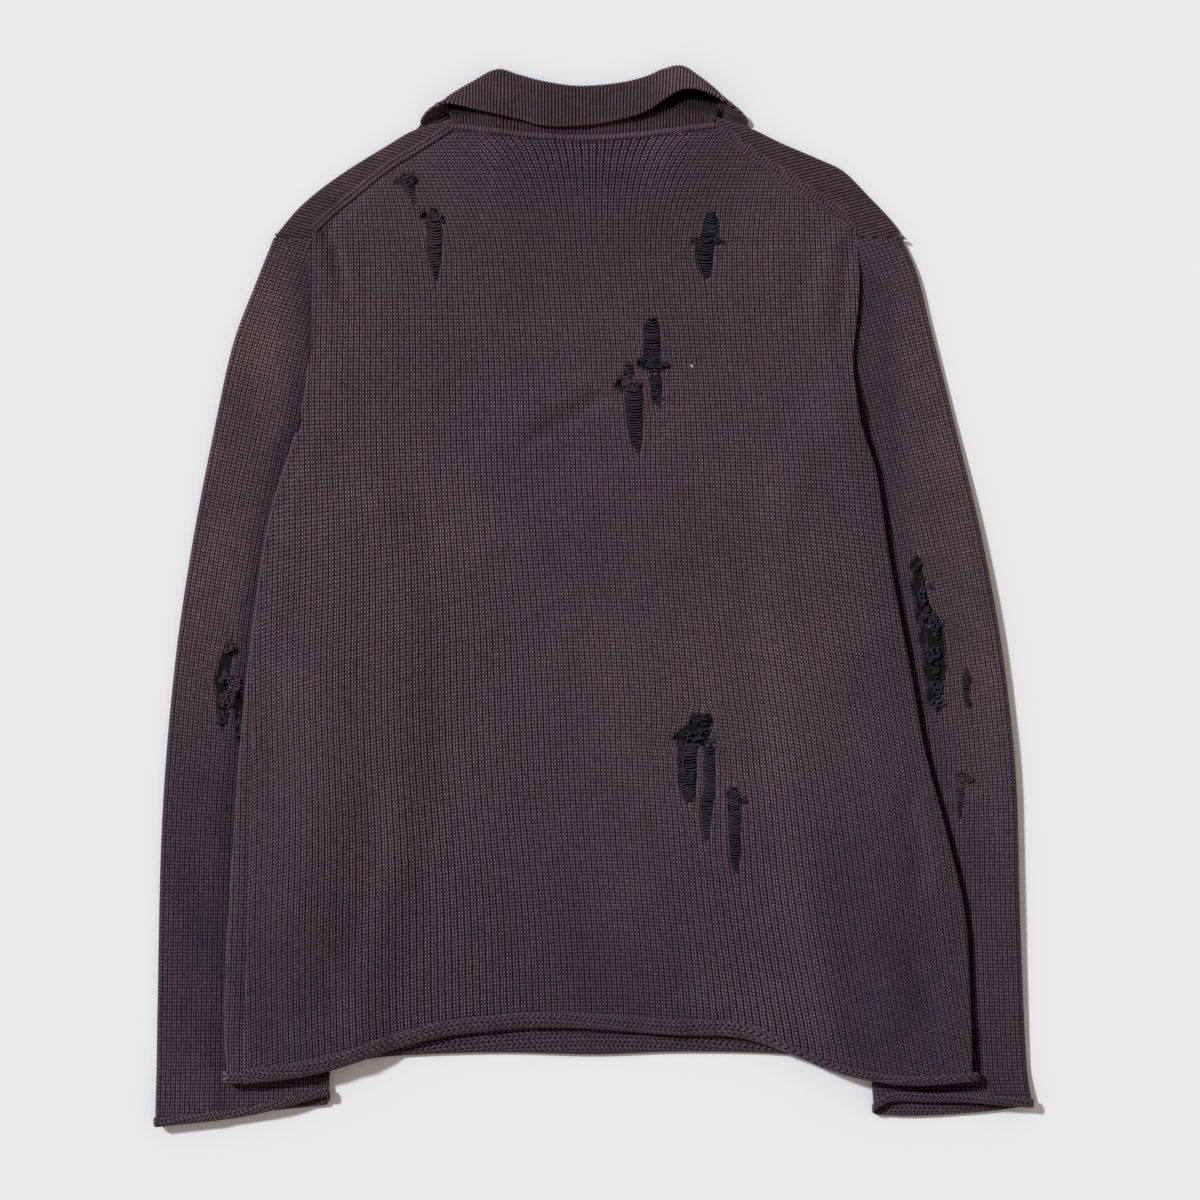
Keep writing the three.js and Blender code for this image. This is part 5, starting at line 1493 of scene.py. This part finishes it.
class SWEATER_OT_lint(bpy.types.Operator):
    """Leave a fleck of lint on the back and a loose thread at the right shoulder"""
    bl_idname = "sweater.lint"
    bl_label = "Lint and thread"

    def execute(self, context):
        material = bpy.data.materials.new("Lint")
        material.use_nodes = True
        shader = material.node_tree.nodes["Principled BSDF"]
        shader.inputs["Roughness"].default_value = 0.9
        m = Maths(material.node_tree)
        place = m.node("ShaderNodeNewGeometry").outputs["Position"]
        m.link(m.mix(m.noise(place, 900.0), (0.72, 0.66, 0.55, 1), (0.9, 0.86, 0.78, 1)), shader.inputs["Base Color"])
        ts = np.linspace(0, 1, 9)
        z = back_height(np.array(70.0), np.array(166.0)) + HALF + 0.9
        path = np.column_stack([69 + 2.4 * ts, 166.5 - 1.0 * ts + 0.5 * np.sin(ts * 5), z + 0.4 * np.sin(ts * 3)])
        fleck = yarn(path, 0.42)
        finish_piece(joined_mesh("lint_fleck", [fleck], material), [])
        threads = []
        random = np.random.default_rng(3)
        for _ in range(5):
            swing = random.uniform(-1.2, 1.2)
            x, y = 220 + 5 * ts + swing * ts ** 2, 260 - 2.5 * ts + swing * np.sin(ts * 4)
            threads.append(yarn(np.column_stack([x, y, 5.5 + 1.2 * np.sin(ts * 3)]), 0.32))
        finish_piece(joined_mesh("loose_thread", threads, bpy.data.materials["Linking yarn"]), [])
        return {"FINISHED"}


class SWEATER_OT_stage(bpy.types.Operator):
    """Lay the pale floor and set the lights and the camera above it"""
    bl_idname = "sweater.stage"
    bl_label = "Stage"

    def execute(self, context):
        stage = context.scene.sweater_stage
        size = 6.0
        mesh = bpy.data.meshes.new("floor")
        mesh.from_pydata([(-size, -size, 0), (size, -size, 0), (size, size, 0), (-size, size, 0)], [], [(0, 1, 2, 3)])
        floor = linked("floor", mesh)
        floor.location.z = -0.0003
        material = bpy.data.materials.new("Pale floor")
        material.use_nodes = True
        shader = material.node_tree.nodes["Principled BSDF"]
        shader.inputs["Base Color"].default_value = (*stage.floor_colour, 1.0)
        shader.inputs["Roughness"].default_value = 0.9
        mesh.materials.append(material)

        key = bpy.data.lights.new("key", "SUN")
        key.angle = stage.key_spread
        key.energy = stage.key_strength
        key.color = stage.key_colour
        key_object = linked("key", key)
        key_object.location = (-4.3, 3.1, 5.4)
        aim(key_object, (0.0, 0.0, 0.0))

        world = bpy.data.worlds.new("studio")
        world.use_nodes = True
        world.node_tree.nodes["Background"].inputs["Color"].default_value = (*stage.fill_colour, 1.0)
        world.node_tree.nodes["Background"].inputs["Strength"].default_value = stage.fill
        context.scene.world = world
        view = context.scene.view_settings
        view.view_transform = "Standard"
        view.use_curve_mapping = True
        view.curve_mapping.black_level = stage.black_level
        view.curve_mapping.update()

        camera = bpy.data.cameras.new("camera")
        camera.lens = 100.0
        camera.sensor_width = 36.0
        camera_object = linked("camera", camera)
        camera_object.location = (0.004 + SHIFT[0] * MM, -0.0025 + SHIFT[1] * MM, 2.41)
        context.scene.camera = camera_object
        return {"FINISHED"}


def aim(thing, target):
    direction = [t - p for t, p in zip(target, thing.location)]
    flat = math.hypot(direction[0], direction[1])
    thing.rotation_euler = (math.atan2(flat, -direction[2]), 0.0, math.atan2(direction[1], direction[0]) - math.pi / 2)


class SWEATER_PT_panel(bpy.types.Panel):
    """Everything that makes the sweater"""
    bl_idname = "SWEATER_PT_panel"
    bl_label = "Darned sweater"
    bl_space_type = "VIEW_3D"
    bl_region_type = "UI"
    bl_category = "Sweater"

    def draw(self, context):
        for settings in settings_of(context):
            box = self.layout.box()
            for key in settings.__annotations__:
                box.prop(settings, key)
        for operator in OPERATORS:
            self.layout.operator(operator.bl_idname)


OPERATORS = (SWEATER_OT_materials, SWEATER_OT_back, SWEATER_OT_front, SWEATER_OT_sleeves, SWEATER_OT_collar,
             SWEATER_OT_seams, SWEATER_OT_darns, SWEATER_OT_lint, SWEATER_OT_stage)
SETTINGS = (("sweater_knit", SweaterKnitSettings), ("sweater_colours", SweaterColourSettings),
            ("sweater_stage", SweaterStageSettings))


def register():
    for name, settings in SETTINGS:
        bpy.utils.register_class(settings)
        setattr(bpy.types.Scene, name, bpy.props.PointerProperty(type=settings))
    for item in (*OPERATORS, SWEATER_PT_panel):
        bpy.utils.register_class(item)


def unregister():
    for item in reversed((*OPERATORS, SWEATER_PT_panel)):
        bpy.utils.unregister_class(item)
    for name, settings in reversed(SETTINGS):
        delattr(bpy.types.Scene, name)
        bpy.utils.unregister_class(settings)


def main():
    register()
    for operator in OPERATORS:
        name = operator.bl_idname.split(".")[1]
        getattr(bpy.ops.sweater, name)()


if __name__ == "__main__":
    main()
